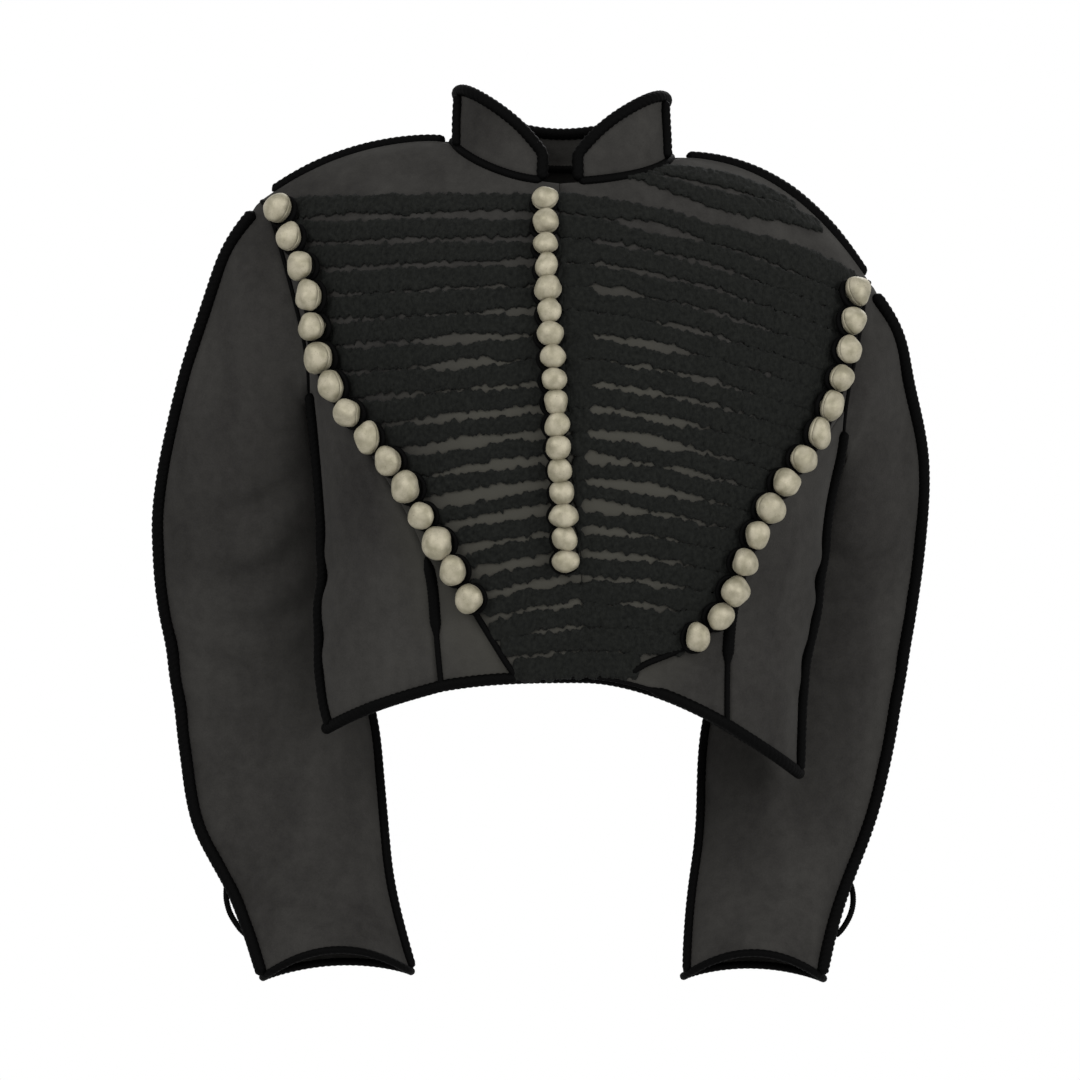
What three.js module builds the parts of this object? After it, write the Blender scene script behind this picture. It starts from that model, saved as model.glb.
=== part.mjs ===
// Hussar jacket: a short braided cavalry jacket, filled out as it is worn and hollow inside.
// Millimetres, +Z up. The wearer faces -Y, so the wearer's right side is at -X.
// The origin is the middle of the neck opening, at the height of the neck points.
import * as THREE from 'three';

// Cloth and gaps
const cloth = 2;
const seamGap = 0.4;
const deg = Math.PI / 180;

// Body: one row for each level, from the hem up to the upper chest.
// right, left: x of the two sides. mid: x of the opening. front, back: depth from the side line.
// The four z columns are the heights there. rightBend, leftBend: how late the level runs down
// to its side.
const bodyRows = [
  // Hem
  {
    right: -196, left: 192, mid: 17, front: 103, back: 76,
    zFront: -425, zBack: -428, zRight: -470, zLeft: -506, rightBend: 3, leftBend: 1.7,
  },
  // Waist
  {
    right: -203, left: 195, mid: 14, front: 106, back: 73,
    zFront: -365, zBack: -366, zRight: -402, zLeft: -428, rightBend: 2.4, leftBend: 2,
  },
  // Below the chest
  {
    right: -199, left: 209, mid: 10, front: 117, back: 86,
    zFront: -300, zBack: -300, zRight: -332, zLeft: -350, rightBend: 2, leftBend: 2,
  },
  // Chest
  {
    right: -200, left: 213, mid: 5.5, front: 124, back: 98,
    zFront: -236, zBack: -234, zRight: -264, zLeft: -292, rightBend: 2, leftBend: 2,
  },
  // Under the arms
  {
    right: -206, left: 224, mid: 1.5, front: 125, back: 105,
    zFront: -174, zBack: -170, zRight: -200, zLeft: -244, rightBend: 2, leftBend: 2,
  },
  // Upper chest
  {
    right: -224, left: 243, mid: -2.5, front: 107, back: 103,
    zFront: -110, zBack: -108, zRight: -138, zLeft: -184, rightBend: 2, leftBend: 2,
  },
];
const upperRow = bodyRows.length - 1;
const ridgeRow = upperRow + 1;
const sectionRoundness = 0.85;

// Shoulder line, from the neck points to the shoulder points
const ridge = { mid: -4, right: -246, left: 247, y: 6, neckZ: 7 };
const shoulderDrop = { right: 49, left: 103 };
const shoulderBend = { right: 2.3, left: 2.3 };
// How far a neck point lies lower than the middle of the neck, and how far out the fall begins
const neckFall = { right: 0, left: 13, from: 20 };
const yokeReach = { up: 0.77, front: 50, back: 62 };

// Neck hole, seen from above
const neck = { x: -2, y: 0, halfWidth: 91.5, halfDepth: 62 };
const neckColumns = 4;
const frontColumns = 12;

// Armholes: the lowest level, and how far each one reaches round the side, in degrees
const armholeLow = 4;
const armholeSpan = 18;
const armholeSteps = 10;
const seamStep = 3;
const seamRows = 9;

// Seams of the side pieces: degrees from the opening, at the hem and at the armhole
const sideSeams = {
  right: { front: 33, back: 146 },
  left: { front: 40, back: 146 },
};
const seamSwing = { from: 1.3, power: 1.5 };

// Sleeves: outer and inner edge of each ring, the depth of its middle and half its thickness
const sleeveRows = {
  right: [
    { outX: -270, outZ: -70, inX: -207, inZ: -214, y: 15, half: 50 },
    { outX: -294, outZ: -130, inX: -199, inZ: -238, y: 35, half: 56 },
    { outX: -318, outZ: -208, inX: -193, inZ: -274, y: 54, half: 57 },
    { outX: -334, outZ: -284, inX: -188, inZ: -322, y: 72, half: 56 },
    { outX: -332, outZ: -352, inX: -181, inZ: -370, y: 86, half: 55 },
    { outX: -320, outZ: -436, inX: -158, inZ: -436, y: 98, half: 52 },
    { outX: -311, outZ: -510, inX: -147, inZ: -508, y: 90, half: 48 },
    { outX: -300, outZ: -556, inX: -142, inZ: -556, y: 78, half: 45 },
    { outX: -268, outZ: -602, inX: -138, inZ: -602, y: 60, half: 41 },
    { outX: -246, outZ: -671, inX: -123, inZ: -666, y: 30, half: 37 },
  ],
  left: [
    { outX: 268, outZ: -138, inX: 226, inZ: -258, y: 18, half: 48 },
    { outX: 280, outZ: -184, inX: 212, inZ: -279, y: 44, half: 54 },
    { outX: 293, outZ: -236, inX: 202, inZ: -305, y: 66, half: 56 },
    { outX: 295, outZ: -296, inX: 184, inZ: -338, y: 89, half: 55 },
    { outX: 288, outZ: -360, inX: 160, inZ: -378, y: 102, half: 53 },
    { outX: 277, outZ: -434, inX: 118, inZ: -436, y: 108, half: 51 },
    { outX: 263, outZ: -510, inX: 109, inZ: -508, y: 97, half: 48 },
    { outX: 249, outZ: -556, inX: 107, inZ: -556, y: 83, half: 45 },
    { outX: 227, outZ: -602, inX: 101, inZ: -602, y: 63, half: 41 },
    { outX: 211, outZ: -672, inX: 95, inZ: -670, y: 31, half: 36 },
  ],
};
const sleeveRings = 16;
const cuffRise = { front: 23, back: 9 };

// Collar: its height at each turn round the neck, in degrees from the opening
const collarHeights = [
  { turn: 0, height: 22 },
  { turn: 11, height: 38 },
  { turn: 34, height: 49 },
  { turn: 56, height: 57 },
  { turn: 90, height: 38 },
  { turn: 135, height: 30 },
  { turn: 180, height: 28 },
];
// share of the first column that the collar leaves open in front
const collarOpening = 0.42;
// Share of the neck's fall that the collar's height makes up for
const collarEven = 0.55;
const collarRows = 3;
const collarLean = 3;
const collarSeat = { inward: 0.5, up: 0.3 };

// Braid of the chest
const braid = { rows: 20, width: 14, lift: 1.5, thick: 2.4, columns: 8, bandWidth: 15, edgeWidth: 9 };
const braidTop = -47;
const braidPitch = 19.3;
const shoulderBraid = { up: 29, endUp: 15.5, lift: 1, firstColumn: 3 };
const plastronEdge = {
  right: [
    { x: -231, z: -49 }, { x: -207, z: -112 }, { x: -199, z: -167 }, { x: -176, z: -212 },
    { x: -136, z: -260 }, { x: -107, z: -310 }, { x: -77, z: -361 }, { x: -42, z: -418 },
  ],
  left: [
    { x: 235, z: -116 }, { x: 226, z: -171 }, { x: 204, z: -231 }, { x: 176, z: -271 },
    { x: 148, z: -321 }, { x: 129, z: -370 }, { x: 97, z: -399 }, { x: 60, z: -415 },
  ],
};

// Ball buttons
const buttons = {
  right: { count: 15, radius: 11.7, from: 0, to: 0.845 },
  left: { count: 14, radius: 11, from: 0, to: 0.86 },
  centre: { count: 17, radius: 8.6, topZ: -44, bottomZ: -333, inset: 11.5 },
};
const buttonSides = 8;
const buttonFlatness = 0.86;

// Cord loops at the cuffs
const loopCord = { radius: 1.4, sides: 8, steps: 22, drop: 44, reach: 9, gap: 0.5 };
const loopTop = -594;

const colours = { cloth: '#31302f', braid: '#1e1f1d', button: '#a19c8b', cord: '#0b0b0b' };

// ---- Numbers and curves ----

function mix(a, b, t) {
  return a + (b - a) * t;
}

function ease(from, to, value) {
  const t = Math.min(Math.max((value - from) / (to - from), 0), 1);
  return t * t * (3 - 2 * t);
}

// A smooth curve through every column of a table, at a row number that needn't be whole
function rowAt(rows, at) {
  const last = rows.length - 1;
  const i = Math.min(Math.max(Math.floor(at), 0), last - 1);
  const t = at - i;
  const result = {};
  for (const name of Object.keys(rows[0])) {
    const near = [i - 1, i, i + 1, i + 2].map((k) => rows[Math.min(Math.max(k, 0), last)]);
    const [a, b, c, d] = near.map((row) => row[name]);
    result[name] = b + 0.5 * t * (c - a + t * (2 * a - 5 * b + 4 * c - d + t * (3 * b - a - 3 * c + d)));
  }
  return result;
}

// ---- The body's surface ----
// turn: degrees round the body, 0 at the opening, -90 at the wearer's right, 180 at the back.
// level: row of the body's table, then up to the shoulder line at ridgeRow.

function levelPoint(turn, row) {
  const side = Math.sin(turn * deg);
  const face = Math.cos(turn * deg);
  const onRight = side < 0;
  const reach = Math.abs(side);
  const x = mix(row.mid, onRight ? row.right : row.left, reach);
  const depth = Math.abs(face) ** sectionRoundness;
  const y = face > 0 ? -row.front * depth : row.back * depth;
  const bend = reach ** (onRight ? row.rightBend : row.leftBend);
  const z = mix(face > 0 ? row.zFront : row.zBack, onRight ? row.zRight : row.zLeft, bend);
  return new THREE.Vector3(x, y, z);
}

function neckFallAt(x) {
  return neckFall[x < 0 ? 'right' : 'left'] * ease(neckFall.from, neck.halfWidth, Math.abs(x));
}

function ridgePoint(turn) {
  const side = Math.sin(turn * deg);
  const hand = side < 0 ? 'right' : 'left';
  const x = mix(ridge.mid, ridge[hand], Math.abs(side));
  const neckSide = neck.x + Math.sign(side) * neck.halfWidth;
  const out = Math.max((x - neckSide) / (ridge[hand] - neckSide), 0);
  const drop = neckFallAt(x) + shoulderDrop[hand] * out ** shoulderBend[hand];
  return new THREE.Vector3(x, ridge.y, ridge.neckZ - drop);
}

function bodyPoint(turn, level) {
  if (level <= upperRow) {
    return levelPoint(turn, rowAt(bodyRows, level));
  }
  const face = Math.cos(turn * deg);
  const start = levelPoint(turn, bodyRows[upperRow]);
  const below = levelPoint(turn, bodyRows[upperRow - 1]);
  const end = ridgePoint(turn);
  const first = start.clone().addScaledVector(start.clone().sub(below), yokeReach.up);
  const second = end.clone();
  second.y -= face > 0 ? yokeReach.front * face : yokeReach.back * face;
  return new THREE.CubicBezierCurve3(start, first, second, end).getPoint(level - upperRow);
}

// Outward normal. The front and the back share it on the shoulder line and at the shoulder point.
function bodyNormal(turn, level) {
  const step = 0.02;
  const atPoint = level > ridgeRow - 0.1 && Math.abs(Math.abs(turn) - 90) < 6;
  const at = atPoint ? Math.sign(turn) * 85 : turn;
  const height = atPoint ? ridgeRow : level;
  const around = bodyPoint(at + 1, height).sub(bodyPoint(at - 1, height));
  const up = new THREE.Vector3();
  if (height + step <= ridgeRow) {
    up.copy(bodyPoint(at, height + step)).sub(bodyPoint(at, Math.max(height - step, 0)));
  } else {
    const across = Math.sign(at || 1) * 180 - at;
    up.copy(bodyPoint(across, ridgeRow - step)).sub(bodyPoint(at, ridgeRow - step));
    if (Math.abs(at) > 90) up.negate();
  }
  return around.cross(up).normalize();
}

function bodyVertex(turn, level) {
  return { point: bodyPoint(turn, level), normal: bodyNormal(turn, level) };
}

// ---- Seam lines on the body ----

// Armhole, from -armholeSteps (over the back) through 0 (under the arm) to armholeSteps
function armhole(hand, step) {
  const angle = (step / armholeSteps) * 180 * deg;
  const level = mix(armholeLow, ridgeRow, (1 - Math.cos(angle)) / 2);
  const turn = 90 - armholeSpan * Math.sin(angle);
  return { turn: hand === 'right' ? -turn : turn, level };
}

// Levels of the grid: the side seam below, then the armhole's own steps
const seamTop = armhole('left', seamStep).level;
const levels = [];
for (let i = 0; i < seamRows; i += 1) {
  levels.push((seamTop * i) / seamRows);
}
for (let step = seamStep; step <= armholeSteps; step += 1) {
  levels.push(armhole('left', step).level);
}

// Degrees from the opening (front) or from the opening over the side (back) of a panel's edge
function edgeTurn(hand, face, row) {
  if (row >= seamRows) {
    const step = row - seamRows + seamStep;
    return Math.abs(armhole(hand, face === 'front' ? step : -step).turn);
  }
  const top = Math.abs(armhole(hand, face === 'front' ? seamStep : -seamStep).turn);
  const rise = Math.max((levels[row] - seamSwing.from) / (seamTop - seamSwing.from), 0);
  return mix(sideSeams[hand][face], top, rise ** seamSwing.power);
}

// Degrees of each grid column: even steps low down, and at the neck the first ones run up
// into the neck hole, the last of them to the neck point
const neckShare = neck.halfWidth / (ridge.left - ridge.mid);
const neckTurn = Math.asin(neckShare) / deg;
function columnTurn(column, level, edge) {
  const past = (column - neckColumns) / (frontColumns - neckColumns);
  const inNeck = Math.asin(neckShare * Math.sin((90 * deg * column) / neckColumns)) / deg;
  const upper = column <= neckColumns ? inNeck : mix(neckTurn, edge, past);
  return mix((edge * column) / frontColumns, upper, ease(2, 5, level));
}

// Column line of a panel, cut off where it meets the neck hole
function columnLine(hand, face, column) {
  const sign = hand === 'right' ? -1 : 1;
  const turnAt = (row, level) => {
    const edge = edgeTurn(hand, face, row);
    if (face === 'front') return sign * columnTurn(column, level, edge);
    return sign * (180 - columnTurn(column, level, 180 - edge));
  };
  const last = levels.length - 1;
  let top = ridgeRow;
  if (column < neckColumns) {
    let low = upperRow;
    for (let i = 0; i < 30; i += 1) {
      const middle = (low + top) / 2;
      const point = bodyPoint(turnAt(last, middle), middle);
      const inX = (point.x - neck.x) / neck.halfWidth;
      const inY = (point.y - neck.y) / neck.halfDepth;
      if (inX * inX + inY * inY > 1) {
        low = middle;
      } else {
        top = middle;
      }
    }
  }
  return levels.map((level, row) => {
    const over = Math.max(level - seamTop, 0) / (ridgeRow - seamTop);
    const cut = level <= seamTop ? level : mix(seamTop, top, over);
    return bodyVertex(turnAt(row, level), cut);
  });
}

// ---- Closed walls from grids of surface points ----

// Draw a grid's edge back, so that neighbours stay a seam's gap apart
function trimEdges(grid, sides, by = seamGap / 2) {
  const pull = (vertex, inner) => {
    const way = inner.point.clone().sub(vertex.point).normalize();
    return { point: vertex.point.clone().addScaledVector(way, by), normal: vertex.normal };
  };
  const last = grid.length - 1;
  const end = grid[0].length - 1;
  if (sides.includes('first')) grid[0] = grid[0].map((vertex, j) => pull(vertex, grid[1][j]));
  if (sides.includes('last')) grid[last] = grid[last].map((vertex, j) => pull(vertex, grid[last - 1][j]));
  for (const line of grid) {
    if (sides.includes('start')) line[0] = pull(line[0], line[1]);
    if (sides.includes('end')) line[end] = pull(line[end], line[end - 1]);
  }
  return grid;
}

// A closed solid over the cells that are filled, between two heights along the normals.
// wrapped joins each line's end to its start.
function shell(grid, { high = 0, low = -cloth, wrapped = false, filled = () => true } = {}) {
  const lines = grid.length;
  const points = grid[0].length;
  const cells = wrapped ? points : points - 1;
  const positions = [];
  const places = new Map();
  const vertex = (i, j, height) => {
    const key = `${i},${j % points},${height}`;
    if (!places.has(key)) {
      const { point, normal } = grid[i][j % points];
      places.set(key, positions.length / 3);
      positions.push(...point.clone().addScaledVector(normal, height).toArray());
    }
    return places.get(key);
  };
  const faces = [];
  const quad = (a, b, c, d) => faces.push(a, b, c, a, c, d);
  const has = (i, j) => {
    const at = wrapped ? (j + cells) % cells : j;
    return i >= 0 && i < lines - 1 && at >= 0 && at < cells && filled(i, at);
  };
  const rim = (i, j, k, l) => {
    quad(vertex(i, j, high), vertex(i, j, low), vertex(k, l, low), vertex(k, l, high));
  };
  for (let i = 0; i < lines - 1; i += 1) {
    for (let j = 0; j < cells; j += 1) {
      if (!has(i, j)) continue;
      const corners = [[i, j], [i, j + 1], [i + 1, j + 1], [i + 1, j]];
      quad(...corners.map(([a, b]) => vertex(a, b, high)));
      quad(...corners.reverse().map(([a, b]) => vertex(a, b, low)));
      if (!has(i - 1, j)) rim(i, j, i, j + 1);
      if (!has(i + 1, j)) rim(i + 1, j + 1, i + 1, j);
      if (!has(i, j - 1)) rim(i + 1, j, i, j);
      if (!has(i, j + 1)) rim(i, j + 1, i + 1, j + 1);
    }
  }
  return faceOutwards(positions, faces);
}

function faceOutwards(positions, faces) {
  const corner = (k) => new THREE.Vector3().fromArray(positions, 3 * k);
  let volume = 0;
  for (let i = 0; i < faces.length; i += 3) {
    const [a, b, c] = [faces[i], faces[i + 1], faces[i + 2]].map(corner);
    volume += a.dot(b.cross(c));
  }
  if (volume < 0) faces.reverse();
  const geometry = new THREE.BufferGeometry();
  geometry.setAttribute('position', new THREE.Float32BufferAttribute(positions, 3));
  geometry.setIndex(faces);
  return geometry;
}

// Normals of a grid of bare points, facing away from its middle
function withNormals(points, wrapped) {
  const end = points[0].length - 1;
  const middle = new THREE.Vector3();
  points.flat().forEach((point) => middle.add(point));
  middle.divideScalar(points.flat().length);
  let outward = 0;
  const grid = points.map((line, i) => line.map((point, j) => {
    const nextLine = points[Math.min(i + 1, points.length - 1)][j];
    const lastLine = points[Math.max(i - 1, 0)][j];
    const next = wrapped ? line[(j + 1) % line.length] : line[Math.min(j + 1, end)];
    const last = wrapped ? line[(j + end) % line.length] : line[Math.max(j - 1, 0)];
    const normal = nextLine.clone().sub(lastLine).cross(next.clone().sub(last)).normalize();
    outward += normal.dot(point.clone().sub(middle));
    return { point, normal };
  }));
  if (outward < 0) grid.flat().forEach((vertex) => vertex.normal.negate());
  return grid;
}

// ---- Panels ----

function frontPanel(hand) {
  const grid = [];
  for (let column = 0; column <= frontColumns; column += 1) {
    grid.push(columnLine(hand, 'front', column));
  }
  return shell(trimEdges(grid, ['first', 'last', 'end']));
}

function backPanel() {
  const grid = [];
  for (let column = frontColumns; column > 0; column -= 1) {
    grid.push(columnLine('right', 'back', column));
  }
  for (let column = 0; column <= frontColumns; column += 1) {
    grid.push(columnLine('left', 'back', column));
  }
  return shell(trimEdges(grid, ['first', 'last', 'end']));
}

// The side piece spans its two seams, and its top is the bottom of the armhole
function sidePanel(hand) {
  const columns = 2 * seamStep;
  const sign = hand === 'right' ? -1 : 1;
  const grid = [];
  for (let column = 0; column <= columns; column += 1) {
    const across = column / columns;
    const top = armhole(hand, seamStep - column);
    const straightTop = mix(
      edgeTurn(hand, 'front', seamRows),
      edgeTurn(hand, 'back', seamRows),
      across,
    );
    const line = [];
    for (let row = 0; row <= seamRows; row += 1) {
      const up = row / seamRows;
      const seams = mix(edgeTurn(hand, 'front', row), edgeTurn(hand, 'back', row), across);
      const turn = seams + up * (Math.abs(top.turn) - straightTop);
      line.push(bodyVertex(sign * turn, levels[row] + up * (top.level - seamTop)));
    }
    grid.push(line);
  }
  return shell(trimEdges(grid, ['first', 'last', 'end']));
}

// ---- Sleeves ----

function sleeveRing(hand, at) {
  const row = rowAt(sleeveRows[hand], at);
  const cuff = ease(sleeveRows[hand].length - 2, sleeveRows[hand].length - 1, at);
  const ring = [];
  for (let step = -armholeSteps; step < armholeSteps; step += 1) {
    const angle = (step / armholeSteps) * 180 * deg;
    const out = (1 - Math.cos(angle)) / 2;
    const depth = Math.sin(angle);
    const rise = (depth > 0 ? cuffRise.front : cuffRise.back) * depth * depth * cuff;
    ring.push(new THREE.Vector3(
      mix(row.inX, row.outX, out),
      row.y - row.half * depth,
      mix(row.inZ, row.outZ, out) + rise,
    ));
  }
  return ring;
}

function sleeve(hand) {
  const seam = [];
  for (let step = -armholeSteps; step < armholeSteps; step += 1) {
    const { turn, level } = armhole(hand, step);
    seam.push(bodyVertex(turn, level));
  }
  const rings = [seam.map((vertex) => vertex.point)];
  for (let i = 0; i < sleeveRings; i += 1) {
    rings.push(sleeveRing(hand, (i / (sleeveRings - 1)) * (sleeveRows[hand].length - 1)));
  }
  const grid = withNormals(rings, true);
  grid[0] = seam;
  return shell(trimEdges(grid, ['first'], 1.5 * seamGap), { wrapped: true });
}

// ---- Collar ----

function collarHeight(turn) {
  const next = Math.max(collarHeights.findIndex((row) => row.turn >= turn - 0.01), 1);
  const [low, high] = [collarHeights[next - 1], collarHeights[next]];
  return mix(low.height, high.height, (turn - low.turn) / (high.turn - low.turn));
}

function collar() {
  const top = (hand, face, column) => columnLine(hand, face, column).at(-1);
  const seam = [];
  for (let column = 0; column <= neckColumns; column += 1) seam.push(top('right', 'front', column));
  for (let column = neckColumns - 1; column > 0; column -= 1) seam.push(top('right', 'back', column));
  for (let column = 0; column < neckColumns; column += 1) seam.push(top('left', 'back', column));
  for (let column = neckColumns; column >= 0; column -= 1) seam.push(top('left', 'front', column));
  const frontEdge = (end, next) => ({
    point: end.point.clone().lerp(next.point, collarOpening),
    normal: end.normal.clone().lerp(next.normal, collarOpening).normalize(),
  });
  [seam[0], seam[seam.length - 1]] = [frontEdge(seam[0], seam[1]), frontEdge(seam.at(-1), seam.at(-2))];
  const half = (seam.length - 1) / 2;
  const rows = [];
  for (let row = 0; row <= collarRows; row += 1) {
    const up = row / collarRows;
    rows.push(seam.map(({ point }, i) => {
      const turn = 180 - Math.abs((i / half - 1) * 180);
      const lean = new THREE.Vector3(neck.x - point.x, neck.y - point.y, 0).setLength(collarLean * up);
      const height = collarHeight(turn) + collarEven * neckFallAt(point.x);
      return point.clone().add(lean).setZ(point.z + height * up);
    }));
  }
  const grid = withNormals(rows, false);
  grid[0] = seam.map(({ point, normal }) => {
    const inward = new THREE.Vector3(neck.x - point.x, neck.y - point.y, 0).setLength(collarSeat.inward);
    return { point: point.clone().add(inward).setZ(point.z + collarSeat.up), normal };
  });
  return shell(trimEdges(grid, ['start', 'end']));
}

// ---- Places on the fronts ----

// The front's surface at a given x and z, as seen from straight ahead
function frontVertex(x, z) {
  let turn = Math.asin(Math.min(Math.max(x / 230, -0.98), 0.98)) / deg;
  let level = Math.min(Math.max((z + 425) / 64, 0), ridgeRow - 0.3);
  for (let i = 0; i < 60; i += 1) {
    const here = bodyPoint(turn, level);
    const [missX, missZ] = [x - here.x, z - here.z];
    if (Math.abs(missX) + Math.abs(missZ) < 0.001) break;
    const [byTurn, byLevel] = [bodyPoint(turn + 0.2, level), bodyPoint(turn, level + 0.005)];
    const [a, b] = [(byTurn.x - here.x) / 0.2, (byLevel.x - here.x) / 0.005];
    const [c, d] = [(byTurn.z - here.z) / 0.2, (byLevel.z - here.z) / 0.005];
    const size = a * d - b * c;
    turn += THREE.MathUtils.clamp((missX * d - missZ * b) / size, -6, 6);
    level += THREE.MathUtils.clamp((missZ * a - missX * c) / size, -0.3, 0.3);
    turn = THREE.MathUtils.clamp(turn, -89, 89);
    level = THREE.MathUtils.clamp(level, 0, ridgeRow - 0.03);
  }
  return bodyVertex(turn, level);
}

function openingX(z) {
  let [low, high] = [0, ridgeRow];
  for (let i = 0; i < 30; i += 1) {
    const middle = (low + high) / 2;
    if (bodyPoint(0, middle).z < z) {
      low = middle;
    } else {
      high = middle;
    }
  }
  return bodyPoint(0, low).x;
}

function edgeCurve(hand) {
  return new THREE.CatmullRomCurve3(plastronEdge[hand].map(({ x, z }) => new THREE.Vector3(x, 0, z)));
}

// ---- Braid ----

// Point of the edge at which a row ends. The rows crowd a little low down on the wearer's right;
// on the left they are even
function rowEnd(hand, row) {
  const share = row / (braid.rows - 1);
  const crowd = hand === 'right' ? 0.045 * Math.sin(Math.PI * share ** 1.6) : 0;
  const edge = edgeCurve(hand);
  const top = edge.getPoint(0).z;
  const height = mix(top, edge.getPoint(1).z, share + crowd);
  let low = 0;
  let high = 1;
  for (let step = 0; step < 30; step += 1) {
    const middle = (low + high) / 2;
    if (edge.getPoint(middle).z > height) low = middle;
    else high = middle;
  }
  return edge.getPoint(high);
}

// Height of a row's middle line, from the opening (0) to the edge (1)
function rowHeight(hand, row, end, across) {
  const start = braidTop - braidPitch * row;
  return mix(start, end.z, across ** (hand === 'right' ? 1.3 : 2));
}

function braidPanel(hand) {
  const sign = hand === 'right' ? -1 : 1;
  const first = hand === 'left' ? -1 : 0;
  const grid = [];
  for (let row = first; row < braid.rows; row += 1) {
    const end = rowEnd(hand, Math.max(row, 0));
    for (const half of [braid.width / 2, -braid.width / 2]) {
      const line = [];
      for (let column = 0; column <= braid.columns; column += 1) {
        const start = openingX(braidTop - braidPitch * row) + sign * seamGap;
        const length = Math.abs(end.x - start);
        const inner = mix(braid.bandWidth, length - braid.edgeWidth, (column - 1) / (braid.columns - 2));
        const reach = column === 0 ? 0 : column === braid.columns ? length : inner;
        const across = reach / length;
        const rise = row < 0 ? mix(shoulderBraid.up - braidPitch, shoulderBraid.endUp, across ** 2) : 0;
        const z = rowHeight(hand, row, end, across) + half + rise;
        const vertex = frontVertex(start + sign * reach, z);
        if (row < 0) vertex.point.addScaledVector(vertex.normal, shoulderBraid.lift);
        line.push(vertex);
      }
      grid.push(line);
    }
  }
  const filled = (i, j) => {
    const shoulderLine = hand === 'left' && i < 2;
    if (shoulderLine) return i === 0 ? j >= shoulderBraid.firstColumn : j === braid.columns - 1;
    return i % 2 === 0 || j === 0 || j === braid.columns - 1;
  };
  return shell(grid, { high: braid.lift + braid.thick, low: braid.lift, filled });
}

// ---- Buttons ----

// A ball with a short shank, turned round its own axis; its seat is at zero height
function buttonShape(radius) {
  const shank = radius * 0.4;
  const height = 2 * radius * buttonFlatness;
  const profile = [new THREE.Vector2(0, 0), new THREE.Vector2(shank, 0)];
  for (const turn of [-50, -15, 20, 55]) {
    const z = height / 2 + (height / 2) * Math.sin(turn * deg);
    profile.push(new THREE.Vector2(radius * Math.cos(turn * deg), z));
  }
  profile.push(new THREE.Vector2(0, height));
  return new THREE.LatheGeometry(profile, buttonSides);
}

// Seat a button so that its middle is seen at x, z
function button(name, radius, x, z) {
  const seat = braid.lift + braid.thick + seamGap;
  const middle = seat + radius * buttonFlatness;
  let [seatX, seatZ] = [x, z];
  let place = frontVertex(seatX, seatZ);
  for (let i = 0; i < 8; i += 1) {
    seatX += (x - place.point.x - place.normal.x * middle) * 0.7;
    seatZ += (z - place.point.z - place.normal.z * middle) * 0.7;
    place = frontVertex(seatX, seatZ);
  }
  const mesh = makeMesh(name, buttonShape(radius), materials.button);
  mesh.quaternion.setFromUnitVectors(new THREE.Vector3(0, 1, 0), place.normal);
  mesh.position.copy(place.point).addScaledVector(place.normal, seat);
  return mesh;
}

function numbered(name, index) {
  return `${name}_${String(index + 1).padStart(2, '0')}`;
}

function edgeButtons(hand) {
  const { count, radius, from, to } = buttons[hand];
  const edge = edgeCurve(hand);
  return Array.from({ length: count }, (_, i) => {
    const { x, z } = edge.getPointAt(mix(from, to, i / (count - 1)));
    return button(numbered(`button_${hand}`, i), radius, x, z);
  });
}

function centreButtons() {
  const { count, radius, topZ, bottomZ, inset } = buttons.centre;
  return Array.from({ length: count }, (_, i) => {
    const z = mix(topZ, bottomZ, i / (count - 1));
    return button(numbered('button_centre', i), radius, openingX(z) - inset, z);
  });
}

// ---- Cord loops ----

// The sleeve's outer edge at a given height
function sleeveEdge(hand, z) {
  let [low, high] = [0, sleeveRows[hand].length - 1];
  for (let i = 0; i < 30; i += 1) {
    const middle = (low + high) / 2;
    if (rowAt(sleeveRows[hand], middle).outZ > z) {
      low = middle;
    } else {
      high = middle;
    }
  }
  return rowAt(sleeveRows[hand], low);
}

function cuffLoop(hand) {
  const sign = hand === 'right' ? -1 : 1;
  const clear = loopCord.radius + loopCord.gap;
  const points = [0, 0.12, 0.35, 0.6, 0.85, 1].map((down) => {
    const z = loopTop - loopCord.drop * down;
    const edge = sleeveEdge(hand, z);
    const out = clear + loopCord.reach * Math.sin(Math.PI * down) ** 0.8;
    return new THREE.Vector3(edge.outX + sign * out, edge.y, z);
  });
  const section = new THREE.Shape();
  for (let i = 0; i < loopCord.sides; i += 1) {
    const angle = (i / loopCord.sides) * 360 * deg;
    const [x, y] = [loopCord.radius * Math.cos(angle), loopCord.radius * Math.sin(angle)];
    if (i === 0) {
      section.moveTo(x, y);
    } else {
      section.lineTo(x, y);
    }
  }
  section.closePath();
  const extrudePath = new THREE.CatmullRomCurve3(points);
  return new THREE.ExtrudeGeometry(section, { steps: loopCord.steps, extrudePath });
}

// ---- The jacket ----

const materials = {
  cloth: { color: colours.cloth, roughness: 0.9, metalness: 0 },
  braid: { color: colours.braid, roughness: 0.85, metalness: 0 },
  button: { color: colours.button, roughness: 0.4, metalness: 0.8 },
  cord: { color: colours.cord, roughness: 0.8, metalness: 0 },
};

function makeMesh(name, geometry, finish) {
  const mesh = new THREE.Mesh(geometry, new THREE.MeshStandardMaterial(finish));
  mesh.name = name;
  return mesh;
}

const group = new THREE.Group();
for (const hand of ['right', 'left']) {
  group.add(makeMesh(`front_${hand}`, frontPanel(hand), materials.cloth));
  group.add(makeMesh(`side_${hand}`, sidePanel(hand), materials.cloth));
  group.add(makeMesh(`sleeve_${hand}`, sleeve(hand), materials.cloth));
  group.add(makeMesh(`braid_${hand}`, braidPanel(hand), materials.braid));
  group.add(makeMesh(`cuff_loop_${hand}`, cuffLoop(hand), materials.cord));
  group.add(...edgeButtons(hand));
}
group.add(makeMesh('back', backPanel(), materials.cloth));
group.add(makeMesh('collar', collar(), materials.cloth));
group.add(...centreButtons());

export default group;
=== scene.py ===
import math
import random

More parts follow.
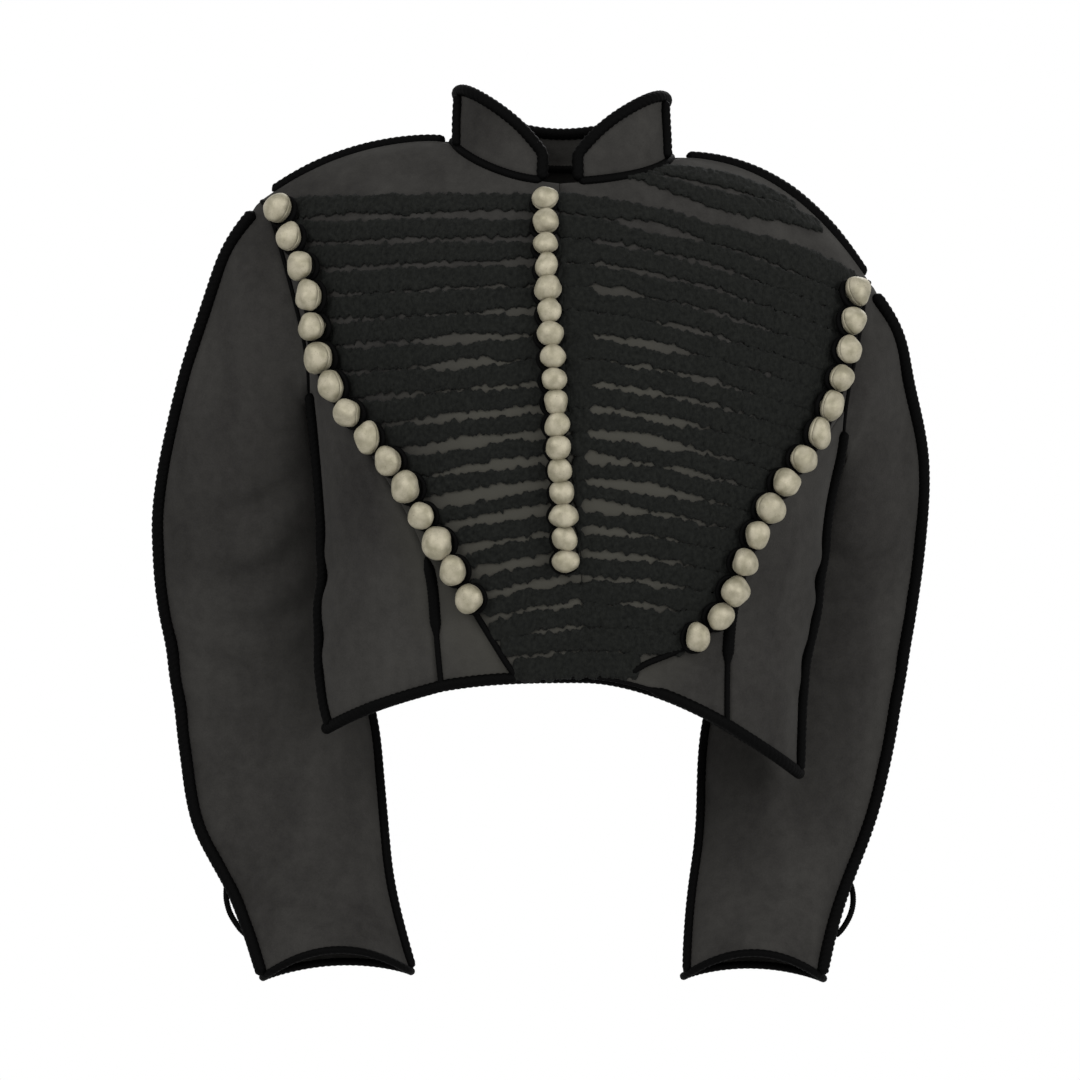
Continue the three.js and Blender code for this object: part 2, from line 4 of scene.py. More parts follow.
import bmesh
import bpy
import numpy as np
from mathutils import Matrix, Vector, kdtree, noise
from mathutils.bvhtree import BVHTree


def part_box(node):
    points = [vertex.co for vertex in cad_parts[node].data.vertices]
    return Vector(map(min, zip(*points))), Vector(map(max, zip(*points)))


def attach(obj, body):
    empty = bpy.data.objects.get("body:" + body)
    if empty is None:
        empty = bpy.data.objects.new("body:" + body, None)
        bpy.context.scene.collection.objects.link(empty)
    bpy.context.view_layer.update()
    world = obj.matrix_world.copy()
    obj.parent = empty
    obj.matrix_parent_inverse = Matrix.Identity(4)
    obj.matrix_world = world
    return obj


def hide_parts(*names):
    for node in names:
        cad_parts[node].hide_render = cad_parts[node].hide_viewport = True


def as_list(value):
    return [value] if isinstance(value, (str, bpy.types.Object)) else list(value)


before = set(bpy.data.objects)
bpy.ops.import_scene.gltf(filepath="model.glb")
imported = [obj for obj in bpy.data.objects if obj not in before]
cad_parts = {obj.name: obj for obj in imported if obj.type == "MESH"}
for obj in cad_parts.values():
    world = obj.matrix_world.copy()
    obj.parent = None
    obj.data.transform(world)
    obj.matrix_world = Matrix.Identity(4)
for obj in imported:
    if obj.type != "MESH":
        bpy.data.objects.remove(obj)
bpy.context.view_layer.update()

# A short hussar jacket, filled out as it is worn: wool panels, plaited braid, cord edging
# and ball buttons. Sizes in the dictionaries are in millimetres, the scene is in metres.
# Right and left are the wearer's. Right is on the side of the negative X.

mm = 0.001
hands = ("right", "left")
signOf = {"right": -1, "left": 1}


def deselectAll():
    if bpy.context.mode != "OBJECT":
        bpy.ops.object.mode_set(mode="OBJECT")
    bpy.ops.object.select_all(action="DESELECT")


def makeActive(piece):
    deselectAll()
    piece.select_set(True)
    bpy.context.view_layer.objects.active = piece


def newObject(name, data):
    item = bpy.data.objects.new(name, data)
    bpy.context.scene.collection.objects.link(item)
    return item


def newPiece(name, points, faces):
    mesh = bpy.data.meshes.new(name)
    mesh.from_pydata(points, [], faces)
    mesh.update()
    return newObject(name, mesh)


def dress(piece, material):
    piece.data.materials.clear()
    piece.data.materials.append(material)
    makeActive(piece)
    bpy.ops.object.shade_smooth()
    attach(piece, "root")
    return piece


def closedPiece(name, points, faces, material, slotName):
    # a piece with its faces all turned outward
    piece = newPiece(name, points, faces)
    makeActive(piece)
    bpy.ops.object.mode_set(mode="EDIT")
    bpy.ops.mesh.select_all(action="SELECT")
    bpy.ops.mesh.normals_make_consistent(inside=False)
    bpy.ops.object.mode_set(mode="OBJECT")
    return dress(piece, material)


def tubeFaces(count, sides, closed=False):
    # quads between the rings of a tube, with a cap on each end unless it goes round
    faces = []
    for i in range(count if closed else count - 1):
        a, b = i * sides, (i + 1) % count * sides
        faces.extend((a + k, a + (k + 1) % sides, b + (k + 1) % sides, b + k) for k in range(sides))
    if not closed:
        faces.append(tuple(range(sides))[::-1])
        faces.append(tuple((count - 1) * sides + k for k in range(sides)))
    return faces


# Camera: level, straight in front, far enough off to keep the sides true
view = {"distance": 7000, "middle": (-20, 0, -316), "across": 864, "plane": -60, "sensor": 36, "clip": 60000}

camera = newObject("camera", bpy.data.cameras.new("camera"))
camera.location = [c * mm for c in (view["middle"][0], -view["distance"], view["middle"][2])]
camera.rotation_euler = (math.radians(90), 0, 0)
camera.data.lens = view["sensor"] * (view["distance"] + view["plane"]) / view["across"]
camera.data.sensor_width = view["sensor"]
camera.data.clip_end = view["clip"] * mm
bpy.context.scene.camera = camera
print("camera set")


# Numbers and curves

def smoothCurve(points, count, fineness=24):
    # evenly spaced points on a smooth curve through the given ones
    points = np.asarray(points, float)
    ends = np.vstack([2 * points[0] - points[1], points, 2 * points[-1] - points[-2]])
    t = np.linspace(0, 1, fineness, endpoint=False)[:, None]
    fine = []
    for i in range(len(points) - 1):
        a, b, c, d = ends[i:i + 4]
        fine.append(b + 0.5 * t * (c - a + t * (2 * a - 5 * b + 4 * c - d + t * (3 * b - a - 3 * c + d))))
    fine.append(points[-1:])
    return evenly(np.vstack(fine), count)


def distancesAlong(points):
    steps = np.linalg.norm(np.diff(points, axis=0), axis=1)
    return np.concatenate([[0], np.cumsum(steps)])


def evenly(points, count, carried=None):
    # the points, or the rows carried along with them, at even steps of length
    along = distancesAlong(points)
    at = np.linspace(0, along[-1], count)
    rows = points if carried is None else carried
    return np.stack([np.interp(at, along, column) for column in rows.T], 1)


def lengthOf(points):
    return float(np.linalg.norm(np.diff(points, axis=0), axis=1).sum())


def softened(values, reach, closed=False):
    # moving average over a few neighbours either side
    size = 2 * reach + 1
    if closed:
        padded = np.vstack([values[-reach:], values, values[:reach]])
    else:
        padded = np.vstack([np.repeat(values[:1], reach, 0), values, np.repeat(values[-1:], reach, 0)])
    sums = np.cumsum(np.vstack([np.zeros((1, values.shape[1])), padded]), axis=0)
    result = (sums[size:] - sums[:-size]) / size
    if not closed:
        result[0], result[-1] = values[0], values[-1]
    return result


def unit(vectors):
    return vectors / np.maximum(np.linalg.norm(vectors, axis=-1, keepdims=True), 1e-12)


def ramp(values, ends):
    # a soft rise from 0 to 1 between two ends
    t = np.clip((values - ends[0]) / (ends[1] - ends[0]), 0, 1)
    return t * t * (3 - 2 * t)


def roundedEnds(count, step, reach, least):
    # shares of the full size along a run that closes in a round at both ends
    ends = np.minimum(np.arange(count), np.arange(count)[::-1]) * step / reach
    return np.sqrt(np.clip(ends * (2 - np.clip(ends, 0, 1)), least, 1))


def wave(a, b, c=0.0):
    return noise.noise(Vector((a, b, c)))


# Materials

def linearColour(hexColour):
    parts = [int(hexColour[i:i + 2], 16) / 255 for i in (1, 3, 5)]
    parts = [p / 12.92 if p <= 0.04045 else ((p + 0.055) / 1.055) ** 2.4 for p in parts]
    return (*parts, 1.0)


def addNode(tree, kind, settings=None, links=None):
    # settings go to inputs or to the node itself, and a linked node gives its first output
    node = tree.nodes.new("ShaderNode" + kind)
    for key, value in (settings or {}).items():
        if isinstance(key, int) or key in node.inputs:
            node.inputs[key].default_value = value
        else:
            setattr(node, key, value)
    for key, source in (links or {}).items():
        tree.links.new(getattr(source, "outputs", [source])[0], node.inputs[key])
    return node


def newMaterial(name):
    material = bpy.data.materials.new(name)
    material.use_nodes = True
    tree = material.node_tree
    tree.nodes.clear()
    return material, tree, addNode(tree, "TexCoord").outputs["Object"]


def addNoise(tree, place, size, detail, settings=None):
    # noise with features of this size in millimetres
    return addNode(tree, "TexNoise", {"Scale": 1000 / size, "Detail": detail, **(settings or {})},
                   {"Vector": place})


def addWeighted(tree, first, weight, second):
    return addNode(tree, "Math", {"operation": "MULTIPLY_ADD", 1: weight}, {0: first, 2: second})


def addRange(tree, source, fromEnds, toEnds=(0, 1)):
    return addNode(tree, "MapRange", {"From Min": fromEnds[0], "From Max": fromEnds[1],
                                      "To Min": toEnds[0], "To Max": toEnds[1]}, {"Value": source})


def addMix(tree, share, low, high):
    # a colour between two, each a hex colour or the colour of a node
    settings, links = {"data_type": "RGBA"}, {0: share}
    for key, colour in ((6, low), (7, high)):
        if isinstance(colour, str):
            settings[key] = linearColour(colour)
        else:
            links[key] = colour
    return addNode(tree, "Mix", settings, links).outputs[2]


def addBump(tree, height, strength, depth, below=None):
    links = {"Height": height}
    if below:
        links["Normal"] = below
    return addNode(tree, "Bump", {"Strength": strength, "Distance": depth * mm}, links)


shaderInputs = {
    "roughness": "Roughness", "metallic": "Metallic", "ior": "IOR", "specular": "Specular IOR Level",
    "sheen": "Sheen Weight", "sheenRoughness": "Sheen Roughness", "sheenTint": "Sheen Tint",
}


def addShader(tree, settings, links):
    # those of the settings that are a shader's own
    plain = {shaderInputs[key]: value for key, value in settings.items() if key in shaderInputs}
    shader = addNode(tree, "BsdfPrincipled", plain, links)
    addNode(tree, "OutputMaterial", None, {"Surface": shader})


broadcloth = {
    "dark": "#1c1b1a", "light": "#302f2d", "tones": (1.05, 1.95),
    "patch": 130, "patchWeight": 0.9, "stroke": 42, "brush": (1, 1, 0.28), "bend": 0.4,
    "mottle": 8, "mottleWeight": 0.55, "mottleBump": 0.5, "mottleDepth": 0.35,
    "nap": 1.5, "napWeight": 0.55, "napBump": 0.7, "napDepth": 0.25, "napCoarse": 0.7,
    # the next colour, with its share, place, reach and full point, is painted light: a paler patch on the
    # chest that offsets the braid rows' shade on the cloth between them
    "worn": "#383732", "wornShare": 0.85, "wornPlace": (0, -120, -275), "wornReach": (165, 110, 210),
    "wornFull": 0.5, "roughness": 0.93, "sheen": 0.04, "sheenRoughness": 0.45,
    "sheenTint": (0.8, 0.78, 0.74, 1), "ior": 1.45, "specular": 0.08,
}


def makeBroadcloth():
    # Broadcloth: wool woven, fulled and sheared until a short nap hides the threads. It gives
    # a matt, slightly clouded charcoal, lighter where the nap lies brushed and paler over the chest from
    # painted light.
    s = broadcloth
    material, tree, place = newMaterial("fulledWoolBroadcloth")
    patches = addNoise(tree, place, s["patch"], 3)
    brushed = addNode(tree, "Mapping", {"Scale": s["brush"]}, {"Vector": place})
    strokes = addNoise(tree, brushed, s["stroke"], 4, {"Distortion": s["bend"]})
    mottle = addNoise(tree, place, s["mottle"], 3)
    # a real nap is finer than this, but would be too fine to show
    nap = addNoise(tree, place, s["nap"], 2, {"Roughness": s["napCoarse"]})
    broad = addWeighted(tree, patches, s["patchWeight"], strokes)
    fine = addWeighted(tree, mottle, s["mottleWeight"], broad)
    share = addRange(tree, addWeighted(tree, nap, s["napWeight"], fine), s["tones"])
    colour = addMix(tree, share, s["dark"], s["light"])
    # painted light: a paler colour blended in over a round patch on the chest, between the rows of braid,
    # lifting the cloth that the braid rows shade
    chest = addNode(tree, "Mapping", {"vector_type": "TEXTURE", "Location": [c * mm for c in s["wornPlace"]],
                                      "Scale": [c * mm for c in s["wornReach"]]}, {"Vector": place})
    ball = addNode(tree, "TexGradient", {"gradient_type": "SPHERICAL"}, {"Vector": chest})
    paintedLightMask = addRange(tree, ball.outputs["Fac"], (0, s["wornFull"]), (0, s["wornShare"]))
    colour = addMix(tree, paintedLightMask, colour, s["worn"])
    low = addBump(tree, mottle, s["mottleBump"], s["mottleDepth"])
    high = addBump(tree, nap, s["napBump"], s["napDepth"], low)
    addShader(tree, s, {"Base Color": colour, "Normal": high})
    return material


worstedBraid = {
    "dark": "#090a09", "light": "#191a18", "tones": (0.6, 1.25), "tuft": 3.2, "fibre": 0.9,
    "fibreCoarse": 0.75, "fibreWeight": 0.8, "fibreBump": 0.9, "fibreDepth": 0.35, "roughness": 0.9,
    "sheen": 0.02, "sheenRoughness": 0.5, "ior": 1.5, "specular": 0.06,
}


def makeBraidMaterial():
    # Worsted and mohair braid: long wiry fibres plaited flat. It gives a near black with
    # a broken, fuzzy grain and no gloss.
    s = worstedBraid
    material, tree, place = newMaterial("plaitedMohairBraid")
    tufts = addNoise(tree, place, s["tuft"], 3)
    fibres = addNoise(tree, place, s["fibre"], 2, {"Roughness": s["fibreCoarse"]})
    both = addWeighted(tree, fibres, s["fibreWeight"], tufts)
    colour = addMix(tree, addRange(tree, both, s["tones"]), s["dark"], s["light"])
    grain = addBump(tree, both, s["fibreBump"], s["fibreDepth"])
    addShader(tree, s, {"Base Color": colour, "Normal": grain})
    return material


silkCord = {
    "dark": "#010101", "light": "#050505", "strand": 1.1, "strandBump": 0.6, "strandDepth": 0.15,
    "roughness": 0.7, "ior": 1.5, "specular": 0.03,
}


def makeCordMaterial():
    # Twisted cord of black silk over cotton: the plies are modelled, the strands in them are
    # a fine bump. It gives a deep black with a faint gleam on each ply.
    s = silkCord
    material, tree, place = newMaterial("twistedSilkCord")
    strands = addNoise(tree, place, s["strand"], 2)
    colour = addMix(tree, strands, s["dark"], s["light"])
    grain = addBump(tree, strands, s["strandBump"], s["strandDepth"])
    addShader(tree, s, {"Base Color": colour, "Normal": grain})
    return material


castPewter = {
    "pale": "#948e7c", "body": "#7b7663", "tarnish": "#544f40", "cloud": 8, "clouded": (0.35, 0.62),
    "pit": 0.9, "pitted": (0.6, 0.78), "pitShare": 0.6, "pitBump": 0.35, "pitDepth": 0.12,
    "dulled": (0.48, 0.68), "metallic": 0.5,
}


def makePewter():
    # Cast pewter, hand polished and long tarnished: a warm grey metal with soft, wide
    # highlights, clouds of darker tarnish and tiny casting pits.
    s = castPewter
    material, tree, place = newMaterial("tarnishedCastPewter")
    clouds = addNoise(tree, place, s["cloud"], 4)
    pits = addNoise(tree, place, s["pit"], 2)
    body = addMix(tree, addRange(tree, clouds, s["clouded"]), s["body"], s["pale"])
    pitted = addRange(tree, pits, s["pitted"], (0, s["pitShare"]))
    colour = addMix(tree, pitted, body, s["tarnish"])
    rough = addRange(tree, clouds, (0, 1), s["dulled"])
    grain = addBump(tree, pits, s["pitBump"], s["pitDepth"])
    addShader(tree, s, {"Base Color": colour, "Roughness": rough, "Normal": grain})
    return material


clothMaterial = makeBroadcloth()
braidMaterial = makeBraidMaterial()
cordMaterial = makeCordMaterial()
pewterMaterial = makePewter()
print("materials made")


# Cloth panels. Each is a thin shell on the outer skin of its solid, with soft creases.

cloth = {
    "thick": 2.0, "weld": 0.01, "rimSlack": 0.03, "corner": 38, "levels": 3, "seamDip": 0.35,
    "seamWidth": 2.0, "seamSwell": 0.45, "swellAt": 6.0, "swellWidth": 3.0, "roll": 1.3, "rollSize": 80,
    "ripple": 0.4, "rippleSize": 24, "rippleShift": 7.3, "calmEdge": 16,
}
# how a crease fades where it turns away and along its line, and the ridges beside its trough, in
# shares of its width and depth
creaseShape = {"points": 26, "turn": 1.6, "fade": 0.8, "ridge": 0.5, "ridgeAt": 2.0, "ridgeWidth": 0.95}


def faceGroups(work):
    # faces that hang together by their edges
    seen = set()
    groups = []
    for first in work.faces:
        if first in seen:
            continue
        seen.add(first)
        stack, group = [first], []
        while stack:
            face = stack.pop()
            group.append(face)
            for edge in face.edges:
                for other in edge.link_faces:
                    if other not in seen:
                        seen.add(other)
                        stack.append(other)
        groups.append(group)
    return groups


def outerSkin(nodeName, axis):
    # axis: where the upright line that the skin goes round stands, or None for a tube of its own
    work = bmesh.new()
    work.from_mesh(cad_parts[nodeName].data)
    bmesh.ops.remove_doubles(work, verts=work.verts, dist=cloth["weld"] * mm)
    # the wall's rim has edges exactly as long as the cloth is thick
    rim = [f for f in work.faces
           if any(abs(e.calc_length() - cloth["thick"] * mm) < cloth["rimSlack"] * mm for e in f.edges)]
    bmesh.ops.delete(work, geom=rim, context="FACES")
    skins = faceGroups(work)

    def outward(skin):
        centres = [f.calc_center_median() for f in skin]
        if axis is None:
            middle = sum(centres, Vector()) / len(centres)
            arms = [c - middle for c in centres]
        else:
            arms = [Vector((c.x - axis[0] * mm, c.y - axis[1] * mm, 0)) for c in centres]
        return sum(f.normal.dot(a) * f.calc_area() for f, a in zip(skin, arms))

    outer = max(skins, key=outward)
    inner = [f for skin in skins if skin is not outer for f in skin]
    bmesh.ops.delete(work, geom=inner, context="FACES")
    quadsAgain(work)
    return work


def quadsAgain(work):
    # Every face's edges come in the same order (round, up, diagonal), so the families spread
    # from one face to all, and the diagonals are dissolved
    work.faces.ensure_lookup_table()
    family = {loop.edge: k for k, loop in enumerate(work.faces[0].loops)}
    seen, stack = {work.faces[0]}, [work.faces[0]]
    while stack:
        face = stack.pop()
        for loop in face.loops:
            for other in loop.edge.link_faces:
                if other in seen:
                    continue
                seen.add(other)
                there = next(l for l in other.loops if l.edge == loop.edge)
                family[there.link_loop_next.edge] = (family[loop.edge] + 1) % 3
                family[there.link_loop_prev.edge] = (family[loop.edge] + 2) % 3
                stack.append(other)
    members = [[e for e in work.edges if family[e] == k] for k in range(3)]
    inside = [m for m in members if not any(e.is_boundary for e in m)]
    diagonals = max(inside, key=lambda m: sum(e.calc_length() for e in m) / len(m))
    bmesh.ops.dissolve_edges(work, edges=diagonals, use_verts=False)


def readRows(items, key):
    rows = np.empty(len(items) * 3)
    items.foreach_get(key, rows)
    return rows.reshape(-1, 3)


def boundarySides(piece):
    # the open edge as ordered runs of vertices, cut at its sharp corners
    work = bmesh.new()
    work.from_mesh(piece.data)
    work.verts.ensure_lookup_table()
    nextOf = {}
    for edge in work.edges:
        if edge.is_boundary:
            for a, b in (edge.verts, reversed(edge.verts)):
                nextOf.setdefault(a.index, []).append(b.index)
    place = {i: np.array(work.verts[i].co) for i in nextOf}
    work.free()
    sides, left = [], set(nextOf)
    while left:
        first = min(left)
        loop, last, here = [first], None, first
        while True:
            step = [i for i in nextOf[here] if i != last]
            last, here = here, step[0]
            if here == first:
                break
            loop.append(here)
        left -= set(loop)
        spots = np.array([place[i] for i in loop])
        before = unit(spots - np.roll(spots, 1, axis=0))
        after = unit(np.roll(spots, -1, axis=0) - spots)
        sharp = math.cos(math.radians(cloth["corner"]))
        corners = [k for k in range(len(loop)) if float(before[k] @ after[k]) < sharp]
        if not corners:
            sides.append(loop + loop[:1])
            continue
        for k, corner in enumerate(corners):
            end = corners[(k + 1) % len(corners)]
            if end <= corner:
                end += len(loop)
            sides.append([loop[i % len(loop)] for i in range(corner, end + 1)])
    return sides


def pressCreases(points, normals, creases):
    # each crease is a soft trough with a low ridge on both sides, along a smooth line
    facings = {"front": (0, -1, 0), "back": (0, 1, 0), "right": (-1, 0, 0), "left": (1, 0, 0)}
    s = creaseShape
    moved = points.copy()
    for seen, (*line, width, depth) in [(seen, row) for seen, rows in creases.items() for row in rows]:
        spots = points[:, (0, 2) if seen in ("front", "back") else (1, 2)]
        route = smoothCurve(np.array(line, float).reshape(-1, 2) * mm, s["points"])
        nearest = np.full(len(points), np.inf)
        share = np.zeros(len(points))
        for k in range(len(route) - 1):
            a, b = route[k], route[k + 1]
            way = b - a
            t = np.clip(((spots - a) @ way) / (way @ way), 0, 1)
            gap = np.linalg.norm(spots - a - t[:, None] * way, axis=1)
            closer = gap < nearest
            nearest[closer] = gap[closer]
            share[closer] = (k + t[closer]) / (len(route) - 1)
        size = width * mm
        facing = np.clip(normals @ np.array(facings[seen], float) * s["turn"], 0, 1)
        fade = np.sin(np.pi * np.clip(share, 0, 1)) ** s["fade"] * facing
        trough = np.exp(-(nearest / size) ** 2)
        ridge = np.exp(-((nearest - s["ridgeAt"] * size) / (s["ridgeWidth"] * size)) ** 2)
        lift = depth * mm * fade * (s["ridge"] * ridge - trough)
        moved += normals * lift[:, None]
    return moved


def rollSurface(points, normals):
    lift = np.empty(len(points))
    for i, p in enumerate(points):
        big = noise.noise(Vector(p / (cloth["rollSize"] * mm)))
        small = noise.noise(Vector(p / (cloth["rippleSize"] * mm) + cloth["rippleShift"]))
        lift[i] = cloth["roll"] * mm * big + cloth["ripple"] * mm * small
    return points + normals * lift[:, None]


def edgeGaps(points, sides):
    # how far each point lies from the panel's own edge, in millimetres
    edge = sorted({i for side in sides for i in side})
    tree = kdtree.KDTree(len(edge))
    for i in edge:
        tree.insert(Vector(points[i]), i)
    tree.balance()
    return np.array([tree.find(Vector(p))[2] for p in points]) / mm


def shapePanel(points, normals, sides, creases):
    # rolls and creases die out at the edges, where the panels are sewn to each other; the cloth
    # dips into its seam and swells over the turnings behind it
    gaps = edgeGaps(points, sides)
    calm = ramp(gaps, (0, cloth["calmEdge"]))[:, None]
    shaped = pressCreases(rollSurface(points, normals), normals, creases)
    lift = cloth["seamSwell"] * np.exp(-((gaps - cloth["swellAt"]) / cloth["swellWidth"]) ** 2)
    lift -= cloth["seamDip"] * np.exp(-(gaps / cloth["seamWidth"]) ** 2)
    return points + (shaped - points) * calm + normals * (lift * mm)[:, None]


# The creases of each panel by the side that shows them: three points of a line in x and z, or in y
# and z on the right and left sides, and then the width and the depth. Those at the waist run over
# the front seam, so that two panels share them. The axis is what the panel goes round, if that
# isn't the jacket's own.
rightWaist = [
    (-188, -298, -172, -345, -150, -398, 9, 2.2), (-118, -352, -140, -378, -176, -390, 7, 1.8),
]
leftWaist = [
    (196, -330, 182, -372, 160, -420, 9, 2.2), (150, -372, 172, -402, 190, -452, 8, 2.0),
]
panels = {
    "rightFront": {"node": "front_right", "creases": {
        "front": rightWaist + [(-92, -14, -140, -22, -190, -36, 10, 1.8)]}},
    "leftFront": {"node": "front_left", "creases": {"front": leftWaist}},
    "rightSide": {"node": "side_right", "creases": {
        "front": rightWaist,
        "right": [(-60, -330, 0, -352, 60, -346, 9, 3.0), (-45, -388, 10, -398, 70, -380, 8, 2.2)]}},
    "leftSide": {"node": "side_left", "creases": {
        "front": leftWaist,
        "left": [(-60, -338, 0, -350, 62, -336, 9, 2.8), (-50, -402, 10, -416, 60, -392, 9, 2.2)]}},
    "backPanel": {"node": "back", "creases": {
        "back": [
            (-40, -255, -30, -310, -44, -365, 10, 2.2), (38, -240, 52, -300, 40, -358, 11, 2.3),
            (-120, -262, -80, -298, -12, -306, 11, 1.9), (128, -276, 92, -318, 30, -330, 10, 1.7),
            (-165, -110, -120, -128, -66, -122, 12, 1.9), (176, -128, 126, -146, 70, -134, 12, 1.9),
            (-70, -40, -5, -58, 64, -44, 10, 1.3)]}},
    "rightSleeve": {"node": "sleeve_right", "axis": None, "creases": {
        "front": [
            (-262, -96, -280, -150, -276, -214, 11, 2.3), (-206, -262, -252, -290, -312, -296, 9, 3.2),
            (-198, -306, -246, -342, -318, -350, 10, 4.0), (-196, -362, -238, -384, -292, -384, 8, 2.9),
            (-326, -392, -284, -418, -214, -430, 10, 3.6), (-316, -448, -268, -466, -190, -458, 9, 2.3),
            (-228, -470, -238, -520, -226, -572, 12, 2.0), (-292, -566, -232, -584, -160, -574, 7, 2.0),
            (-262, -604, -214, -618, -150, -610, 6, 1.4)],
        "back": [
            (-214, -250, -262, -262, -306, -240, 10, 2.0), (-200, -330, -250, -338, -318, -312, 11, 2.2),
            (-194, -392, -246, -396, -306, -372, 9, 1.8), (-184, -446, -240, -462, -300, -452, 10, 1.5),
            (-158, -562, -214, -582, -282, -568, 8, 1.2)],
        "right": [(30, -150, 48, -215, 60, -290, 11, 1.9)]}},
    "leftSleeve": {"node": "sleeve_left", "axis": None, "creases": {
        "front": [
            (268, -170, 276, -226, 266, -280, 10, 2.2), (196, -322, 236, -336, 280, -326, 9, 3.2),
            (176, -366, 220, -372, 280, -356, 9, 3.6), (150, -404, 206, -424, 276, -404, 10, 4.0),
            (134, -452, 184, -452, 246, -436, 8, 2.4), (196, -466, 188, -516, 202, -566, 12, 2.0),
            (122, -578, 168, -596, 224, -580, 7, 2.3), (112, -606, 150, -622, 204, -612, 6, 1.7)],
        "back": [
            (214, -292, 250, -288, 284, -266, 10, 1.9), (190, -352, 236, -352, 284, -330, 10, 2.2),
            (150, -412, 206, -418, 272, -392, 10, 2.0), (130, -470, 184, -486, 256, -470, 9, 1.4),
            (116, -570, 168, -588, 226, -572, 8, 1.2)],
        "left": [(38, -196, 60, -252, 84, -318, 11, 1.9)]}},
    "standCollar": {"node": "collar", "axis": (-2, 0), "creases": {
        "front": [(-70, 2, -52, 8, -34, -4, 7, 1.0), (30, -6, 50, 6, 70, 4, 7, 1.0)]}},
}


def applyModifier(piece, kind, settings):
    makeActive(piece)
    modifier = piece.modifiers.new(kind, kind)
    for key, value in settings.items():
        setattr(modifier, key, value)
    bpy.ops.object.modifier_apply(modifier=modifier.name)


def makePanel(name, settings):
    work = outerSkin(settings["node"], settings.get("axis", (0, 0)))
    mesh = bpy.data.meshes.new(name)
    work.to_mesh(mesh)
    work.free()
    piece = newObject(name, mesh)
    applyModifier(piece, "SUBSURF", {"levels": cloth["levels"], "boundary_smooth": "PRESERVE_CORNERS"})
    sides = boundarySides(piece)
    points = readRows(piece.data.vertices, "co")
    normals = readRows(piece.data.vertex_normals, "vector")
    points = shapePanel(points, normals, sides, settings["creases"])
    piece.data.vertices.foreach_set("co", points.ravel())
    piece.data.update()
    faces = [tuple(f.vertices) for f in piece.data.polygons]
    settings.update(piece=piece, points=points, faces=faces, sides=[points[side] for side in sides])


for name, settings in panels.items():
    makePanel(name, settings)
    print("panel", name, len(settings["faces"]), "faces", len(settings["sides"]), "sides")


def sideNear(panelName, spot):
    # the side of a panel whose middle is nearest to a point in millimetres
    target = np.array(spot) * mm
    return min(panels[panelName]["sides"], key=lambda s: np.linalg.norm(evenly(s, 3)[1] - target))


def surfaceOf(names):
    points, faces, start = [], [], 0
    for name in names:
        points.extend(map(tuple, panels[name]["points"]))
        faces.extend(tuple(i + start for i in f) for f in panels[name]["faces"])
        start = len(points)
    return BVHTree.FromPolygons(points, faces)


def seenFromFront(tree, x, z):
    # the cloth seen from straight ahead at x, z, or a little aside, or else the nearest cloth
    for aside in (0, 1.2, -1.2, 2.4, -2.4):
        spot, normal, _, _ = tree.ray_cast(Vector((x + aside * mm, -1, z)), Vector((0, 1, 0)))
        if spot is not None:
            return Vector((x, spot.y, z)), normal if normal.y < 0 else -normal
    spot, normal, _, _ = tree.find_nearest(Vector((x, -0.05, z)))
    return spot, normal if normal.y < 0 else -normal


bodyTree = surfaceOf(["rightFront", "leftFront", "rightSide", "leftSide"])
outlineFit = {"step": 6, "band": 4, "degree": 4}


def outlineRun(names, look, start, end, inset, lift):
    # a line on the cloth just inside the outline that the panels show from straight ahead
    tree = surfaceOf(names)
    points = np.vstack([panels[name]["points"] for name in names]) / mm
    sign = signOf[look]
    line = []
    for z in np.linspace(start, end, int(abs(end - start) / outlineFit["step"]) + 2):
        near = points[np.abs(points[:, 2] - z) < outlineFit["band"]]
        if len(near):
            line.append((sign * ((sign * near[:, 0]).max() - inset), z))
    line = softened(np.array(line), 2) * mm
    heights = line[:, 1] / mm / 100
    depths = [seenFromFront(tree, x, z)[0].y for x, z in line]
    depths = np.polyval(np.polyfit(heights, depths, outlineFit["degree"]), heights)
    route = []
    for (x, z), y in zip(line, depths):
        spot, normal, _, _ = tree.find_nearest(Vector((x, y, z)))
        route.append(spot + normal * lift * mm)
    return softened(np.array(route), 2)


for name, settings in panels.items():
    applyModifier(settings["piece"], "SOLIDIFY", {"thickness": cloth["thick"] * mm, "offset": -1})
    dress(settings["piece"], clothMaterial)
    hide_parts(settings["node"])
print("panels thickened")


# Twisted cord edging

def joinRuns(*runs):
    # runs of points joined end to end, each turned round if that brings it nearer
    route = np.asarray(runs[0])
    for run in runs[1:]:
        run = np.asarray(run)
        ends = [(np.linalg.norm(route[a] - run[b]), a, b) for a in (0, -1) for b in (0, -1)]
        _, a, b = min(ends)
        route = route[::-1] if a == 0 else route
        run = run[::-1] if b == -1 else run
        route = np.vstack([route, run])
    return route


cordShape = {
    "plies": 3, "plyDepth": 0.16, "pitch": 15, "finePitch": 9, "sides": 12, "step": 1.2, "leastEnd": 0.01,
}


def plyBulge(angle):
    return 1 - cordShape["plyDepth"] + cordShape["plyDepth"] * np.abs(np.cos(cordShape["plies"] / 2 * angle))


